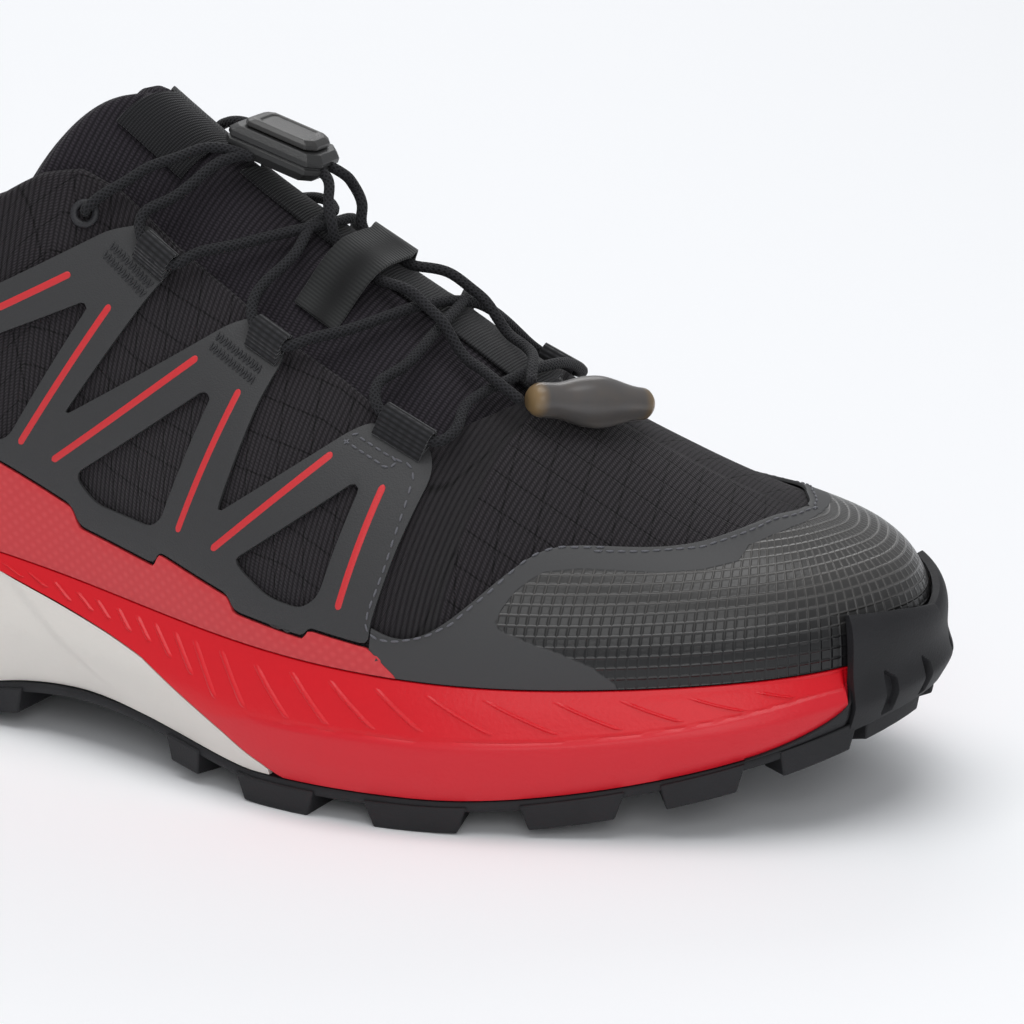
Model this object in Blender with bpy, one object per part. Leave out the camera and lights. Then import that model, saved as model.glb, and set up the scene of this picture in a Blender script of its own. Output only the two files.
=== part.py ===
"""Trail running shoe for the right foot, as an assembly of separate pieces.

Metres. +X runs from heel to toe, +Y to the inner (medial) side, +Z up, and z = 0 is the ground.
The origin is the flat bottom of the middle heel lug, on which the shoe rests.

The shape of the foot form, the last, is one function of two numbers. t runs from the toe tip (0)
to the back of the heel (1) along either side, and v runs from the sole's edge (0) over the side to
the top line of the foot (1). The upper, the tongue and every film on the upper come from it.
"""
import math

import bmesh
import bpy
import numpy as np
from mathutils import Vector, geometry

# Sizes of the last and the sole
LENGTH = 0.300
BALL_WIDTH = 0.108
INSTEP_HEIGHT = 0.080
BALL_HEIGHT = 0.031
HEEL_HEIGHT = 0.048
TOE_EDGE_RISE = 0.005
HEEL_REST = 0.038
TOE_SPRING = 0.023
ARCH_LIFT = 0.006
HEEL_BEVEL = 0.004

# Thicknesses and clearances
GAP = 0.0003
WALL = 0.0018
FILM = 0.0008
FILM_GAP = 0.00045
TONGUE_THICKNESS = 0.0042
PADDING = 0.0045
INSOLE = 0.0042
CUP_DEPTH = 0.0052
PLATE = 0.0022
LUG = 0.0048
SIDE_FLARE = 0.0060
TOE_FLARE = 0.0024
BUMPER = 0.0030
LACE_RADIUS = 0.0012

# The last: one row for each station from the toe tip to the heel, lateral and medial side.
# foot_x and ridge_x are shares of LENGTH from the heel, foot_y is a share of BALL_WIDTH;
# rise and lean set how upright the side stands and how flat the top is.
SECTIONS = np.array([
    # lateral x, y, rise, lean,   medial x, y, rise, lean,    ridge x
    (0.987, 0.046, 0.72, 0.62, 0.987, 0.046, 0.72, 0.62, 0.887),
    (0.975, -0.083, 0.72, 0.62, 0.977, 0.167, 0.72, 0.62, 0.883),
    (0.933, -0.227, 0.70, 0.62, 0.942, 0.287, 0.70, 0.62, 0.873),
    (0.862, -0.338, 0.64, 0.60, 0.875, 0.361, 0.64, 0.60, 0.850),
    (0.780, -0.426, 0.55, 0.60, 0.793, 0.398, 0.57, 0.58, 0.793),
    (0.697, -0.495, 0.52, 0.58, 0.710, 0.407, 0.57, 0.55, 0.717),
    (0.600, -0.509, 0.50, 0.54, 0.613, 0.380, 0.57, 0.50, 0.633),
    (0.500, -0.444, 0.50, 0.50, 0.517, 0.324, 0.58, 0.48, 0.543),
    (0.400, -0.361, 0.54, 0.48, 0.417, 0.287, 0.60, 0.48, 0.460),
    (0.300, -0.329, 0.62, 0.52, 0.313, 0.287, 0.64, 0.52, 0.377),
    (0.200, -0.333, 0.70, 0.60, 0.207, 0.296, 0.70, 0.60, 0.307),
    (0.113, -0.306, 0.75, 0.60, 0.117, 0.287, 0.75, 0.60, 0.253),
    (0.047, -0.194, 0.75, 0.60, 0.047, 0.185, 0.75, 0.60, 0.220),
    (0.020, 0.000, 0.75, 0.60, 0.020, 0.000, 0.75, 0.60, 0.207),
])

# The top line: x as a share of LENGTH, y of BALL_WIDTH, height over the sole's edge of INSTEP_HEIGHT
RIDGE = np.array([
    (0.200, 0.000, 1.550),
    (0.253, 0.000, 1.540),
    (0.307, 0.010, 1.460),
    (0.377, 0.020, 1.325),
    (0.460, 0.030, 1.130),
    (0.543, 0.037, 0.956),
    (0.633, 0.046, 0.785),
    (0.717, 0.046, 0.615),
    (0.793, 0.046, 0.490),
    (0.853, 0.046, 0.395),
    (0.893, 0.046, 0.345),
])

# The edge where upper and sole meet: x as a share of LENGTH, then the shares of the rise from the
# ball to the heel and from the ball to the toe
SOLE_EDGE = np.array([
    (0.00, 1.00, 0.0),
    (0.20, 0.76, 0.0),
    (0.40, 0.32, 0.0),
    (0.60, 0.09, 0.0),
    (0.77, 0.00, 0.0),
    (0.88, 0.00, 0.4),
    (0.98, 0.00, 1.0),
])

# The opening of the upper: t, then v of its edge, from the front of the throat round the collar
OPENING = np.array([
    (0.385, 1.00),
    (0.392, 0.88),
    (0.402, 0.76),
    (0.412, 0.67),
    (0.423, 0.60),
    (0.440, 0.58),
    (0.480, 0.60),
    (0.520, 0.60),
    (0.560, 0.61),
    (0.600, 0.61),
    (0.640, 0.62),
    (0.663, 0.60),
    (0.681, 0.54),
    (0.700, 0.45),
    (0.730, 0.34),
    (0.770, 0.265),
    (0.820, 0.225),
    (0.880, 0.230),
    (0.940, 0.265),
    (1.000, 0.295),
])


def spline(knots, values, at):
    """Natural cubic spline through values at knots, read at the places in at."""
    knots = np.asarray(knots, float)
    values = np.asarray(values, float)
    gaps = np.diff(knots)
    matrix = np.eye(len(knots))
    right = np.zeros(values.shape)
    for i in range(1, len(knots) - 1):
        matrix[i, i - 1:i + 2] = gaps[i - 1], 2 * (gaps[i - 1] + gaps[i]), gaps[i]
        step = (values[i + 1] - values[i]) / gaps[i] - (values[i] - values[i - 1]) / gaps[i - 1]
        right[i] = 6 * step
    bend = np.linalg.solve(matrix, right)
    at = np.clip(at, knots[0], knots[-1])
    k = np.clip(np.searchsorted(knots, at) - 1, 0, len(gaps) - 1)
    d = at - knots[k]
    h = gaps[k]
    if values.ndim > 1:
        d = d[..., None]
        h = h[..., None]
    slope = (values[k + 1] - values[k]) / h - h * (2 * bend[k] + bend[k + 1]) / 6
    return values[k] + d * slope + d * d * bend[k] / 2 + d ** 3 * (bend[k + 1] - bend[k]) / (6 * h)


def from_heel(share):
    """x of a share of the length, counted from the back of the heel."""
    return share * LENGTH - HEEL_REST


def share_of_length(x):
    return (x + HEEL_REST) / LENGTH


def edge_height(x):
    """Height of the line where the upper meets the sole."""
    heel, toe = np.moveaxis(spline(SOLE_EDGE[:, 0], SOLE_EDGE[:, 1:], share_of_length(x)), -1, 0)
    return BALL_HEIGHT + (HEEL_HEIGHT - BALL_HEIGHT) * heel + TOE_EDGE_RISE * toe


def ridge_point(share):
    """Point of the top line of the last at a share of the length."""
    y, height = np.moveaxis(spline(RIDGE[:, 0], RIDGE[:, 1:], share), -1, 0)
    x = from_heel(share)
    return np.stack([x, y * BALL_WIDTH, edge_height(x) + height * INSTEP_HEIGHT], -1)


def section(t, side):
    """Foot x, foot y, rise, lean and ridge share at t; side is -1 lateral or 1 medial.

    The rows go on past the toe tip and the heel with the other side's rows, so that both sides
    meet smoothly there.
    """
    own = SECTIONS[:, :4] if side < 0 else SECTIONS[:, 4:8]
    other = SECTIONS[:, 4:8] if side < 0 else SECTIONS[:, :4]
    rows = np.concatenate([other[3:0:-1], own, other[-2:-5:-1]])
    tops = np.concatenate([SECTIONS[3:0:-1, 8], SECTIONS[:, 8], SECTIONS[-2:-5:-1, 8]])
    rows = np.column_stack([rows, tops])
    return np.moveaxis(spline(np.arange(len(rows)) - 3.0, rows, np.asarray(t) * (len(own) - 1)), -1, 0)


def foot_line(t, side):
    """The edge of the last on the sole, with its outward direction in plan."""
    x, y = section(t, side)[:2]
    step = 0.004
    ahead = section(np.asarray(t) + step, side)[:2]
    behind = section(np.asarray(t) - step, side)[:2]
    along = np.stack([(ahead[0] - behind[0]) * LENGTH, (ahead[1] - behind[1]) * BALL_WIDTH], -1)
    along /= np.linalg.norm(along, axis=-1, keepdims=True)
    outward = np.stack([-along[..., 1], along[..., 0]], -1) * -side
    return from_heel(x), y * BALL_WIDTH, outward


def last_point(t, v, side):
    """A cubic curve from the sole's edge up the side and over to the top line."""
    x, y, rise, lean, top = section(t, side)
    foot_x = from_heel(x)
    foot = np.stack([foot_x, y * BALL_WIDTH, edge_height(foot_x)], -1)
    peak = ridge_point(top)
    step = 0.002
    run = ridge_point(top + step) - ridge_point(top - step)
    slope = run[..., 2] / run[..., 0] * np.clip((top - RIDGE[0, 0]) * 7.5, 0, 1)
    out = foot - peak
    out[..., 2] = out[..., 0] * slope
    up = np.zeros_like(foot)
    up[..., 2] = rise * (peak[..., 2] - foot[..., 2])
    v = np.asarray(v)[..., None]
    knee = foot + up
    brow = peak + out * lean[..., None]
    return (1 - v) ** 3 * foot + 3 * v * (1 - v) ** 2 * knee + 3 * v * v * (1 - v) * brow + v ** 3 * peak


def last(t, v, side, lift=0.0):
    """A point of the last, lifted along the surface's outward direction."""
    t = np.asarray(t, float)
    v = np.asarray(v, float)
    t, v = np.broadcast_arrays(t, v)
    point = last_point(t, v, side)
    step = 0.004
    near_t = np.maximum(t, 0.05 * v ** 8)
    along = last_point(near_t + step, v, side) - last_point(near_t - step, v, side)
    across = last_point(near_t, v + step, side) - last_point(near_t, v - step, side)
    normal = np.cross(along, across) * side
    normal /= np.linalg.norm(normal, axis=-1, keepdims=True)
    return point + normal * np.asarray(lift)[..., None]


def over(t, w, lift=0.0):
    """A point of the last counted right over the top: w is v on the lateral side, 2 - v beyond."""
    t, w = np.broadcast_arrays(np.asarray(t, float), np.asarray(w, float))
    lift = np.broadcast_to(lift, t.shape)
    lateral = last(t, np.minimum(w, 1), -1, lift)
    medial = last(t, 2 - np.maximum(w, 1), 1, lift)
    return np.where((w <= 1)[..., None], lateral, medial)


def opening_edge(t):
    """v of the upper's edge: 1 over the vamp, then along the throat and the collar."""
    return np.interp(t, OPENING[:, 0], OPENING[:, 1])


def t_at(x, side):
    """t of the place on the sole's edge with this x."""
    t = np.linspace(0, 1, 400)
    return np.interp(-np.asarray(x), -foot_line(t, side)[0], t)


def v_at(t, height, side):
    """v of the place at t that lies this high over the sole's edge."""
    steps = np.linspace(0, 1, 80)
    t, height = np.broadcast_arrays(np.atleast_1d(t), np.atleast_1d(height))
    found = []
    for one_t, one_height in zip(t, height):
        points = last_point(np.full(steps.shape, one_t), steps, side)
        found.append(np.interp(one_height, points[:, 2] - points[0, 2], steps))
    return np.array(found)


def locate(x, height, side):
    """t and v of the place with this x that lies this high over the sole's edge."""
    x = np.asarray(x, float)
    t = t_at(x, side)
    for _ in range(6):
        v = v_at(t, height, side)
        t = t + (last_point(t, v, side)[:, 0] - x) / (1.25 * LENGTH)
    return t, v_at(t, height, side)


def look(name, colour, roughness, metallic=0.0):
    """A plain material with the piece's colour, given as sRGB hex."""
    material = bpy.data.materials.new(name)
    material.use_nodes = True
    shader = material.node_tree.nodes["Principled BSDF"]
    levels = [int(colour[i:i + 2], 16) / 255 for i in (0, 2, 4)]
    linear = [c / 12.92 if c < 0.04 else ((c + 0.055) / 1.055) ** 2.4 for c in levels]
    shader.inputs["Base Color"].default_value = (*linear, 1.0)
    shader.inputs["Roughness"].default_value = roughness
    shader.inputs["Metallic"].default_value = metallic
    return material


def body(name, points, faces, material, weld=5e-5, outward_from=None):
    """An object from points and faces, welded, with its faces turned outwards.

    An open sheet has no inside, so its faces are turned away from the point outward_from.
    """
    mesh = bpy.data.meshes.new(name)
    mesh.from_pydata([tuple(p) for p in np.reshape(points, (-1, 3))], [], faces)
    shape = bmesh.new()
    shape.from_mesh(mesh)
    bmesh.ops.remove_doubles(shape, verts=shape.verts, dist=weld)
    bmesh.ops.triangulate(shape, faces=shape.faces, quad_method="SHORT_EDGE")
    bmesh.ops.recalc_face_normals(shape, faces=shape.faces)
    if outward_from is not None:
        centre = Vector(outward_from)
        facing = sum(f.normal.dot(f.calc_center_median() - centre) for f in shape.faces)
        if facing < 0:
            bmesh.ops.reverse_faces(shape, faces=shape.faces)
    shape.to_mesh(mesh)
    shape.free()
    mesh.materials.append(material)
    mesh.shade_smooth()
    mesh.set_sharp_from_angle(angle=math.radians(35))
    made = bpy.data.objects.new(name, mesh)
    bpy.context.scene.collection.objects.link(made)
    return made


def grid_faces(rows, columns, first=0):
    """Quads of a grid of points stored row by row."""
    faces = []
    for r in range(rows - 1):
        for c in range(columns - 1):
            k = first + r * columns + c
            faces.append((k, k + 1, k + columns + 1, k + columns))
    return faces


def thicken(made, thickness, outward, even=True):
    """Gives an open sheet its thickness, outwards or inwards.

    An even thickness suits grids; on narrow triangles it would raise spikes.
    """
    wall = made.modifiers.new("thickness", "SOLIDIFY")
    wall.thickness = thickness
    wall.offset = 1.0 if outward else -1.0
    wall.use_even_offset = even
    wall.use_rim = True
    return made


def sheet(name, grids, thickness, material, outward=True):
    """A skin made of one or more grids of points that weld where they meet."""
    points = []
    faces = []
    for grid in grids:
        faces += grid_faces(grid.shape[0], grid.shape[1], len(points))
        points += list(grid.reshape(-1, 3))
    middle = (from_heel(0.5), 0.0, BALL_HEIGHT)
    return thicken(body(name, points, faces, material, outward_from=middle), thickness, outward)


def loft(name, sections, material):
    """A closed body through closed sections of as many points; its ends close by themselves
    where a section shrinks to a line, and with a face where it doesn't.

    Each four-sided face is cut from its inner corner to the next section's outer one, so that
    two bodies that lie face to face are cut alike.
    """
    sections = np.asarray(sections)
    count = sections.shape[1]
    reach = np.hypot(sections[:, :, 0] - from_heel(0.5), sections[:, :, 1])
    faces = []
    for r in range(len(sections) - 1):
        for c in range(count):
            k = r * count + c
            following = r * count + (c + 1) % count
            if reach[r, c] < reach[r, (c + 1) % count]:
                faces += [(k, following, following + count), (k, following + count, k + count)]
            else:
                faces += [(k, following, k + count), (following, following + count, k + count)]
    for end in (0, len(sections) - 1):
        width = np.ptp(sections[end][:, 1])
        if width > 0.001:
            faces.append(tuple(range(end * count, end * count + count)))
    return body(name, sections, faces, material)


def join_to(made, others):
    """Unites other closed bodies, already gathered in one object, with this one."""
    union = made.modifiers.new("joined", "BOOLEAN")
    union.operation = "UNION"
    union.solver = "EXACT"
    union.object = others
    others.hide_render = True
    others.display_type = "WIRE"
    return made


def prism(outline, top, bottom, foot=None):
    """Points and faces of a block: its outline in plan and the heights of each corner.

    The foot is the outline at the bottom, where it differs.
    """
    foot = outline if foot is None else foot
    count = len(outline)
    points = [(x, y, z) for (x, y), z in zip(outline, top)]
    points += [(x, y, z) for (x, y), z in zip(foot, bottom)]
    faces = [tuple(range(count)), tuple(range(count, 2 * count))]
    for k in range(count):
        following = (k + 1) % count
        faces.append((k, following, following + count, k + count))
    return points, faces


def gather(parts):
    """Points and faces of several bodies as one list."""
    points = []
    faces = []
    for more_points, more_faces in parts:
        faces += [tuple(i + len(points) for i in face) for face in more_faces]
        points += list(more_points)
    return points, faces


# The upper, open at the collar, the throat and underneath

THROAT_ROWS = (0.392, 0.402, 0.412, 0.432)
LAST_ROWS = np.array(sorted([k / 26 for k in range(27)] + list(THROAT_ROWS)))


def make_upper(material):
    v_shares = np.linspace(0, 1, 8)
    grids = []
    for side in (-1, 1):
        rows = [last(t, opening_edge(t) * v_shares, side) for t in LAST_ROWS]
        grids.append(np.array(rows))
    return sheet("upper", grids, WALL, material, outward=False)


# Films on the upper. Heights are over the sole's edge, as shares of INSTEP_HEIGHT.

LIP_HEIGHT = 0.0008
FILM_START = LIP_HEIGHT + GAP

CAP_EDGE = np.array([
    (0.00, 0.93),
    (0.05, 0.93),
    (0.10, 0.90),
    (0.17, 0.82),
    (0.21, 0.69),
    (0.24, 0.59),
    (0.27, 0.53),
    (0.30, 0.49),
    (0.33, 0.44),
    (0.35, 0.35),
    (0.37, 0.24),
    (0.39, 0.14),
    (0.41, 0.10),
])

RAND_EDGE = np.array([
    (0.150, 0.230),
    (0.200, 0.250),
    (0.327, 0.263),
    (0.393, 0.203),
    (0.400, 0.156),
    (0.470, 0.129),
    (0.474, 0.166),
    (0.537, 0.119),
    (0.543, 0.083),
    (0.601, 0.068),
    (0.605, 0.094),
    (0.650, 0.080),
])

FRAME_TOP = [
    (0.650, 0.140),
    (0.660, 0.327),
    (0.670, 0.490),
    (0.663, 0.545),
    (0.620, 0.590),
    (0.607, 0.565),
    (0.520, 0.315),
    (0.537, 0.600),
    (0.547, 0.710),
    (0.517, 0.780),
    (0.500, 0.755),
    (0.380, 0.435),
    (0.433, 0.769),
    (0.453, 0.880),
    (0.423, 0.950),
    (0.397, 0.920),
    (0.320, 0.730),
    (0.233, 0.510),
    (0.150, 0.380),
]

WINDOWS = [
    [(0.387, 0.737), (0.391, 0.725), (0.337, 0.342), (0.327, 0.318), (0.247, 0.310),
     (0.227, 0.350), (0.227, 0.400)],
    [(0.493, 0.596), (0.500, 0.585), (0.473, 0.254), (0.463, 0.228), (0.413, 0.236),
     (0.397, 0.280), (0.397, 0.305)],
    [(0.620, 0.459), (0.625, 0.447), (0.610, 0.182), (0.597, 0.143), (0.570, 0.150),
     (0.547, 0.196), (0.540, 0.220)],
]


def make_toe_cap(material):
    grids = []
    rows = sorted({round(t, 4) for t in LAST_ROWS if t < 0.32} | set(CAP_EDGE[8:, 0]))
    for side in (-1, 1):
        grid = []
        for t in rows:
            low = v_at(t, FILM_START, side)[0]
            high = np.interp(t, CAP_EDGE[:, 0], CAP_EDGE[:, 1])
            grid.append(last(t, np.linspace(low, high, 6), side, FILM_GAP))
        grids.append(np.array(grid))
    return sheet("toe_cap", grids, FILM, material)


def make_rand(name, side, material):
    """The low film along the sole's edge, with its stepped top."""
    stations = sorted(set(RAND_EDGE[:, 0]) | {0.25, 0.29, 0.36, 0.43, 0.505, 0.57})
    grid = []
    for share in stations:
        t = t_at(from_heel(share), side)
        high = np.interp(share, RAND_EDGE[:, 0], RAND_EDGE[:, 1]) * INSTEP_HEIGHT
        v = v_at(np.full(3, t), np.linspace(FILM_START, high, 3), side)
        grid.append(last(t, v, side, FILM_GAP))
    return sheet(name, [np.array(grid)], FILM, material)


def inside(points, loop):
    """Which points lie inside a closed loop, by the even-odd rule."""
    x, y = points[:, 0], points[:, 1]
    result = np.zeros(len(points), bool)
    for (x1, y1), (x2, y2) in zip(loop, np.roll(loop, -1, axis=0)):
        crossing = (y1 > y) != (y2 > y)
        at = x1 + (y - y1) * (x2 - x1) / (y2 - y1 if y2 != y1 else 1)
        result ^= crossing & (x < at)
    return result


def split_edges(loop, spacing):
    """The loop with extra points, so that no edge is longer than the spacing."""
    points = []
    for start, end in zip(loop, np.roll(loop, -1, axis=0)):
        count = max(1, math.ceil(np.linalg.norm(end - start) / spacing))
        points += [start + (end - start) * k / count for k in range(count)]
    return np.array(points)


def make_frame(name, side, material):
    """The film that braces the laces to the sole: arms to the lace loops, with windows between."""
    spacing = 0.0085
    clear = 0.0007 / INSTEP_HEIGHT
    low = [(share, height + clear) for share, height in RAND_EDGE]
    scale = np.array([LENGTH, INSTEP_HEIGHT])
    loops = [np.array(FRAME_TOP + low) * scale] + [np.array(w) * scale for w in WINDOWS]
    loops = [split_edges(loop, spacing) for loop in loops]
    outline = loops[0]
    inner = []
    for j, y in enumerate(np.arange(0, outline[:, 1].max(), spacing)):
        for x in np.arange(outline[:, 0].min(), outline[:, 0].max(), spacing):
            inner.append((x + (j % 2) * spacing / 2, y))
    inner = np.array(inner)
    rim = np.concatenate(loops)
    reach = np.linalg.norm(inner[:, None] - rim[None], axis=2).min(axis=1)
    keep = inside(inner, outline) & (reach > 0.5 * spacing)
    for hole in loops[1:]:
        keep &= ~inside(inner, hole)
    points = np.concatenate([rim, inner[keep]])
    links = []
    first = 0
    for loop in loops:
        links += [(first + k, first + (k + 1) % len(loop)) for k in range(len(loop))]
        first += len(loop)
    flat = [Vector(p) for p in points]
    flat, _, faces, *_ = geometry.delaunay_2d_cdt(flat, links, [], 0, 1e-6)
    flat = np.array([tuple(p) for p in flat])
    faces = np.array([tuple(f) for f in faces])
    middles = flat[faces].mean(axis=1)
    keep = inside(middles, outline)
    for hole in loops[1:]:
        keep &= ~inside(middles, hole)
    t, v = locate(from_heel(flat[:, 0] / LENGTH), flat[:, 1], side)
    skin = last(t, v, side, FILM_GAP)
    middle = (from_heel(0.5), 0.0, BALL_HEIGHT)
    made = body(name, skin, [tuple(int(i) for i in f) for f in faces[keep]], material,
                outward_from=middle)
    return thicken(made, FILM, True, even=False)


COUNTER_EDGE = np.array([
    (0.865, 0.36),
    (0.90, 0.40),
    (0.95, 0.46),
    (1.00, 0.50),
])


def make_heel_counter(material):
    """The plain film round the heel, behind both frames."""
    grids = []
    for side in (-1, 1):
        rows = [COUNTER_EDGE[0, 0]] + [t for t in LAST_ROWS if t > COUNTER_EDGE[0, 0]]
        grid = []
        for t in rows:
            high = np.interp(t, COUNTER_EDGE[:, 0], COUNTER_EDGE[:, 1]) * INSTEP_HEIGHT
            v = v_at(np.full(4, t), np.linspace(FILM_START, high, 4), side)
            grid.append(last(t, v, side, FILM_GAP))
        grids.append(np.array(grid))
    return sheet("heel_counter", grids, FILM, material)


# Inside the upper

def make_collar_padding(material):
    """The foam roll round the inside of the collar, a little proud of the upper's edge."""
    grids = []
    for side in (-1, 1):
        grid = []
        for t in [t for t in LAST_ROWS if t > 0.705]:
            top = opening_edge(t) + 0.012
            v = np.linspace(top - 0.15, top, 4)
            grid.append(last(t, v, side, -WALL - GAP))
        grids.append(np.array(grid))
    return sheet("collar_padding", grids, PADDING, material, outward=False)


TONGUE_FRONT = 0.350
TONGUE_V = (0.47, 0.62, 0.76, 0.88, 0.95, 1.0)
TONGUE_LIFT = np.array([
    (0.40, -0.0026),
    (0.65, -0.0026),
    (0.85, -0.0014),
    (0.93, -0.0008),
    (1.00, -0.0008),
])


def tongue_lift(w):
    """How far the tongue's outer face lies from the last."""
    v = np.minimum(w, 2 - np.asarray(w))
    return np.interp(v, TONGUE_LIFT[:, 0], TONGUE_LIFT[:, 1])


def make_tongue(material):
    grids = []
    v = np.array(TONGUE_V)
    for side in (-1, 1):
        grid = []
        top = 0.664 + 0.050 * (1 - v)
        for share in np.linspace(0, 1, 14):
            t = TONGUE_FRONT + (top - TONGUE_FRONT) * share
            under = np.clip((t - 0.400) / 0.03, 0, 1)
            lift = -0.0026 + (tongue_lift(v) + 0.0026) * under
            grid.append(last(t, v, side, lift))
        grids.append(np.array(grid))
    return sheet("tongue", grids, TONGUE_THICKNESS, material, outward=False)


def tongue_patch(name, t_range, w_values, lift, thickness, material, rows=None):
    """A strip of webbing or cloth over the tongue: t from end to end, w across, lift per column."""
    rows = rows or max(2, round(abs(t_range[1] - t_range[0]) / 0.0166) + 1)
    t = np.linspace(*t_range, rows)
    grid = np.array([over(np.full(len(w_values), one), np.array(w_values), lift) for one in t])
    return sheet(name, [grid], thickness, material)


# The sole

def lowest_lift(x):
    """How far the tread lies over the ground: toe spring, arch and heel bevel, with flats between."""
    share = share_of_length(x)
    toe = np.clip((share - 0.683) / 0.317, 0, None) ** 1.9
    arch = np.clip(1 - ((share - 0.417) / 0.150) ** 2, 0, None) ** 1.5
    heel = np.clip((0.065 - share) / 0.065, 0, None) ** 2
    return TOE_SPRING * toe + ARCH_LIFT * arch + HEEL_BEVEL * heel


def plate_bottom(x):
    return lowest_lift(x) + LUG


def foam_bottom(x):
    return plate_bottom(x) + PLATE + GAP


# The foam's side: share of the height up from its bottom, and share of the flare
SIDE_PROFILE = np.array([
    (1.00, 0.24),
    (0.86, 0.50),
    (0.47, 1.00),
    (0.22, 0.88),
    (0.00, 0.60),
])

# Where the red rim foam ends and the white core begins: x share, share of the side's height
SPLIT = np.array([
    (0.00, 0.93),
    (0.32, 0.93),
    (0.383, 0.81),
    (0.437, 0.59),
    (0.490, 0.37),
    (0.520, 0.17),
    (0.545, 0.00),
])
FLARE_T = np.array([(0.0, 0.62), (0.1465, 0.80), (0.21, 1.0), (0.85, 1.0), (1.0, 0.75)])
BUMPER_END = 0.122
FLARE_STEP = BUMPER_END + 0.0045
TOE_STEP = (BUMPER_END, BUMPER_END + 0.0005, FLARE_STEP - 0.0015, FLARE_STEP + 0.002)
SOLE_ROWS = np.array(sorted([k / 26 for k in range(27)] + list(TOE_STEP)))


def flare(t):
    """How far the foam's side stands out past the upper, less under the toe bumper."""
    side = SIDE_FLARE * np.interp(t, FLARE_T[:, 0], FLARE_T[:, 1])
    return np.where(t < FLARE_STEP, TOE_FLARE, side)


def side_offset(t, q):
    return flare(t) * np.interp(q, SIDE_PROFILE[::-1, 0], SIDE_PROFILE[::-1, 1])


def sole_section(t, outline, top_dish, bottom_dish, rungs=2):
    """A closed section across the sole at t.

    outline(t, x) gives rows of outward offset and height, from the inner top edge round the side
    to the inner bottom edge; rungs join the two sides over the top and under the bottom.
    """
    halves = []
    for side in (-1, 1):
        x, y, outward = foot_line(t, side)
        rows = outline(t, x)
        plan = np.array([x, y]) + rows[:, :1] * outward
        halves.append(np.column_stack([plan, rows[:, 1]]))
    lateral, medial = halves
    u = np.linspace(0, 1, rungs + 2)[1:-1, None]
    width = np.linalg.norm(lateral[0] - medial[0])
    dip = min(1.0, width / 0.04) * np.array([0, 0, 1.0])
    under = lateral[-1] + (medial[-1] - lateral[-1]) * u - dip * bottom_dish
    over_top = medial[0] + (lateral[0] - medial[0]) * u - dip * top_dish
    return np.concatenate([lateral, under, medial[::-1], over_top])


FOOTBED_INSET = 0.0052
SEAT_INSET = 0.0034
FOOTBED_DISH = 0.0020
CORE_COVER = 0.0030


def split_height(x):
    """Height of the line between the red rim foam and the white core."""
    share = np.interp(share_of_length(x), SPLIT[:, 0], SPLIT[:, 1])
    return foam_bottom(x) + (edge_height(x) - foam_bottom(x)) * share


def footbed(x):
    """Height of the foam under the insole, which lies less deep where the toe is thin."""
    return np.maximum(edge_height(x) - GAP - CUP_DEPTH, foam_bottom(x) + CORE_COVER)


def inner_split(x):
    return max(foam_bottom(x), min(split_height(x), footbed(x) - CORE_COVER))


def split_dish(t):
    """Dip of the middle of the split, which fades out with the core."""
    x = foot_line(t, -1)[0]
    return FOOTBED_DISH * float(np.clip((inner_split(x) - foam_bottom(x)) / 0.010, 0, 1))


def rim_outline(t, x):
    edge = edge_height(x)
    low = foam_bottom(x)
    split = (split_height(x) - low) / (edge - low)
    rows = [
        (-FOOTBED_INSET, footbed(x)),
        (-SEAT_INSET, edge - GAP),
        (0.00035, edge - GAP),
        (0.00035, edge + LIP_HEIGHT),
        (0.0013, edge + LIP_HEIGHT),
    ]
    for q, _ in SIDE_PROFILE:
        q = max(q, split)
        rows.append((side_offset(t, q), low + (edge - low) * q))
    rows.append((-0.002, inner_split(x)))
    rows.append((-FOOTBED_INSET, inner_split(x)))
    return np.array(rows)


def core_outline(t, x):
    edge = edge_height(x)
    low = foam_bottom(x)
    split = (split_height(x) - GAP - low) / (edge - low)
    rows = [(-FOOTBED_INSET, inner_split(x) - GAP), (-0.002, inner_split(x) - GAP)]
    for q, _ in SIDE_PROFILE:
        q = min(q, split)
        rows.append((side_offset(t, q), low + (edge - low) * q))
    rows.append((-FOOTBED_INSET, low))
    return np.array(rows)


RIB_PITCH = 0.0120
RIB_WIDTH = 0.0022
RIB_HEIGHT = 0.0010
RIB_SLANT = 0.55
RIB_SPAN = (0.36, 0.88)


def make_ribs(side):
    """Slanted ribs on the red band, one every RIB_PITCH along the side."""
    parts = []
    start, end = (from_heel(share) for share in RIB_SPAN)
    for k in range(int((end - start) / RIB_PITCH)):
        x = start + k * RIB_PITCH
        split = (split_height(x) - foam_bottom(x)) / (edge_height(x) - foam_bottom(x))
        low_q, high_q = max(0.55, split + 0.08), 0.88
        if high_q - low_q < 0.12:
            continue
        corners = []
        for q, shift in ((low_q, 0.0), (high_q, -1.0)):
            for width in (-0.5, 0.5):
                along = x + shift * RIB_SLANT * (high_q - low_q) * BALL_HEIGHT + width * RIB_WIDTH
                t = float(t_at(along, side))
                foot_x, foot_y, outward = foot_line(t, side)
                edge = edge_height(foot_x)
                low = foam_bottom(foot_x)
                base = side_offset(t, q)
                place = np.array([foot_x, foot_y])
                height = low + (edge - low) * q
                inner = np.append(place + outward * (base - 0.0010), height)
                outer = np.append(place + outward * (base + RIB_HEIGHT), height)
                corners += [inner, outer]
        a, b, c, d, e, f, g, h = range(8)
        faces = [(a, b, d, c), (e, g, h, f), (a, e, f, b), (c, d, h, g), (a, c, g, e), (b, f, h, d)]
        parts.append((corners, faces))
    return parts


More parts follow.
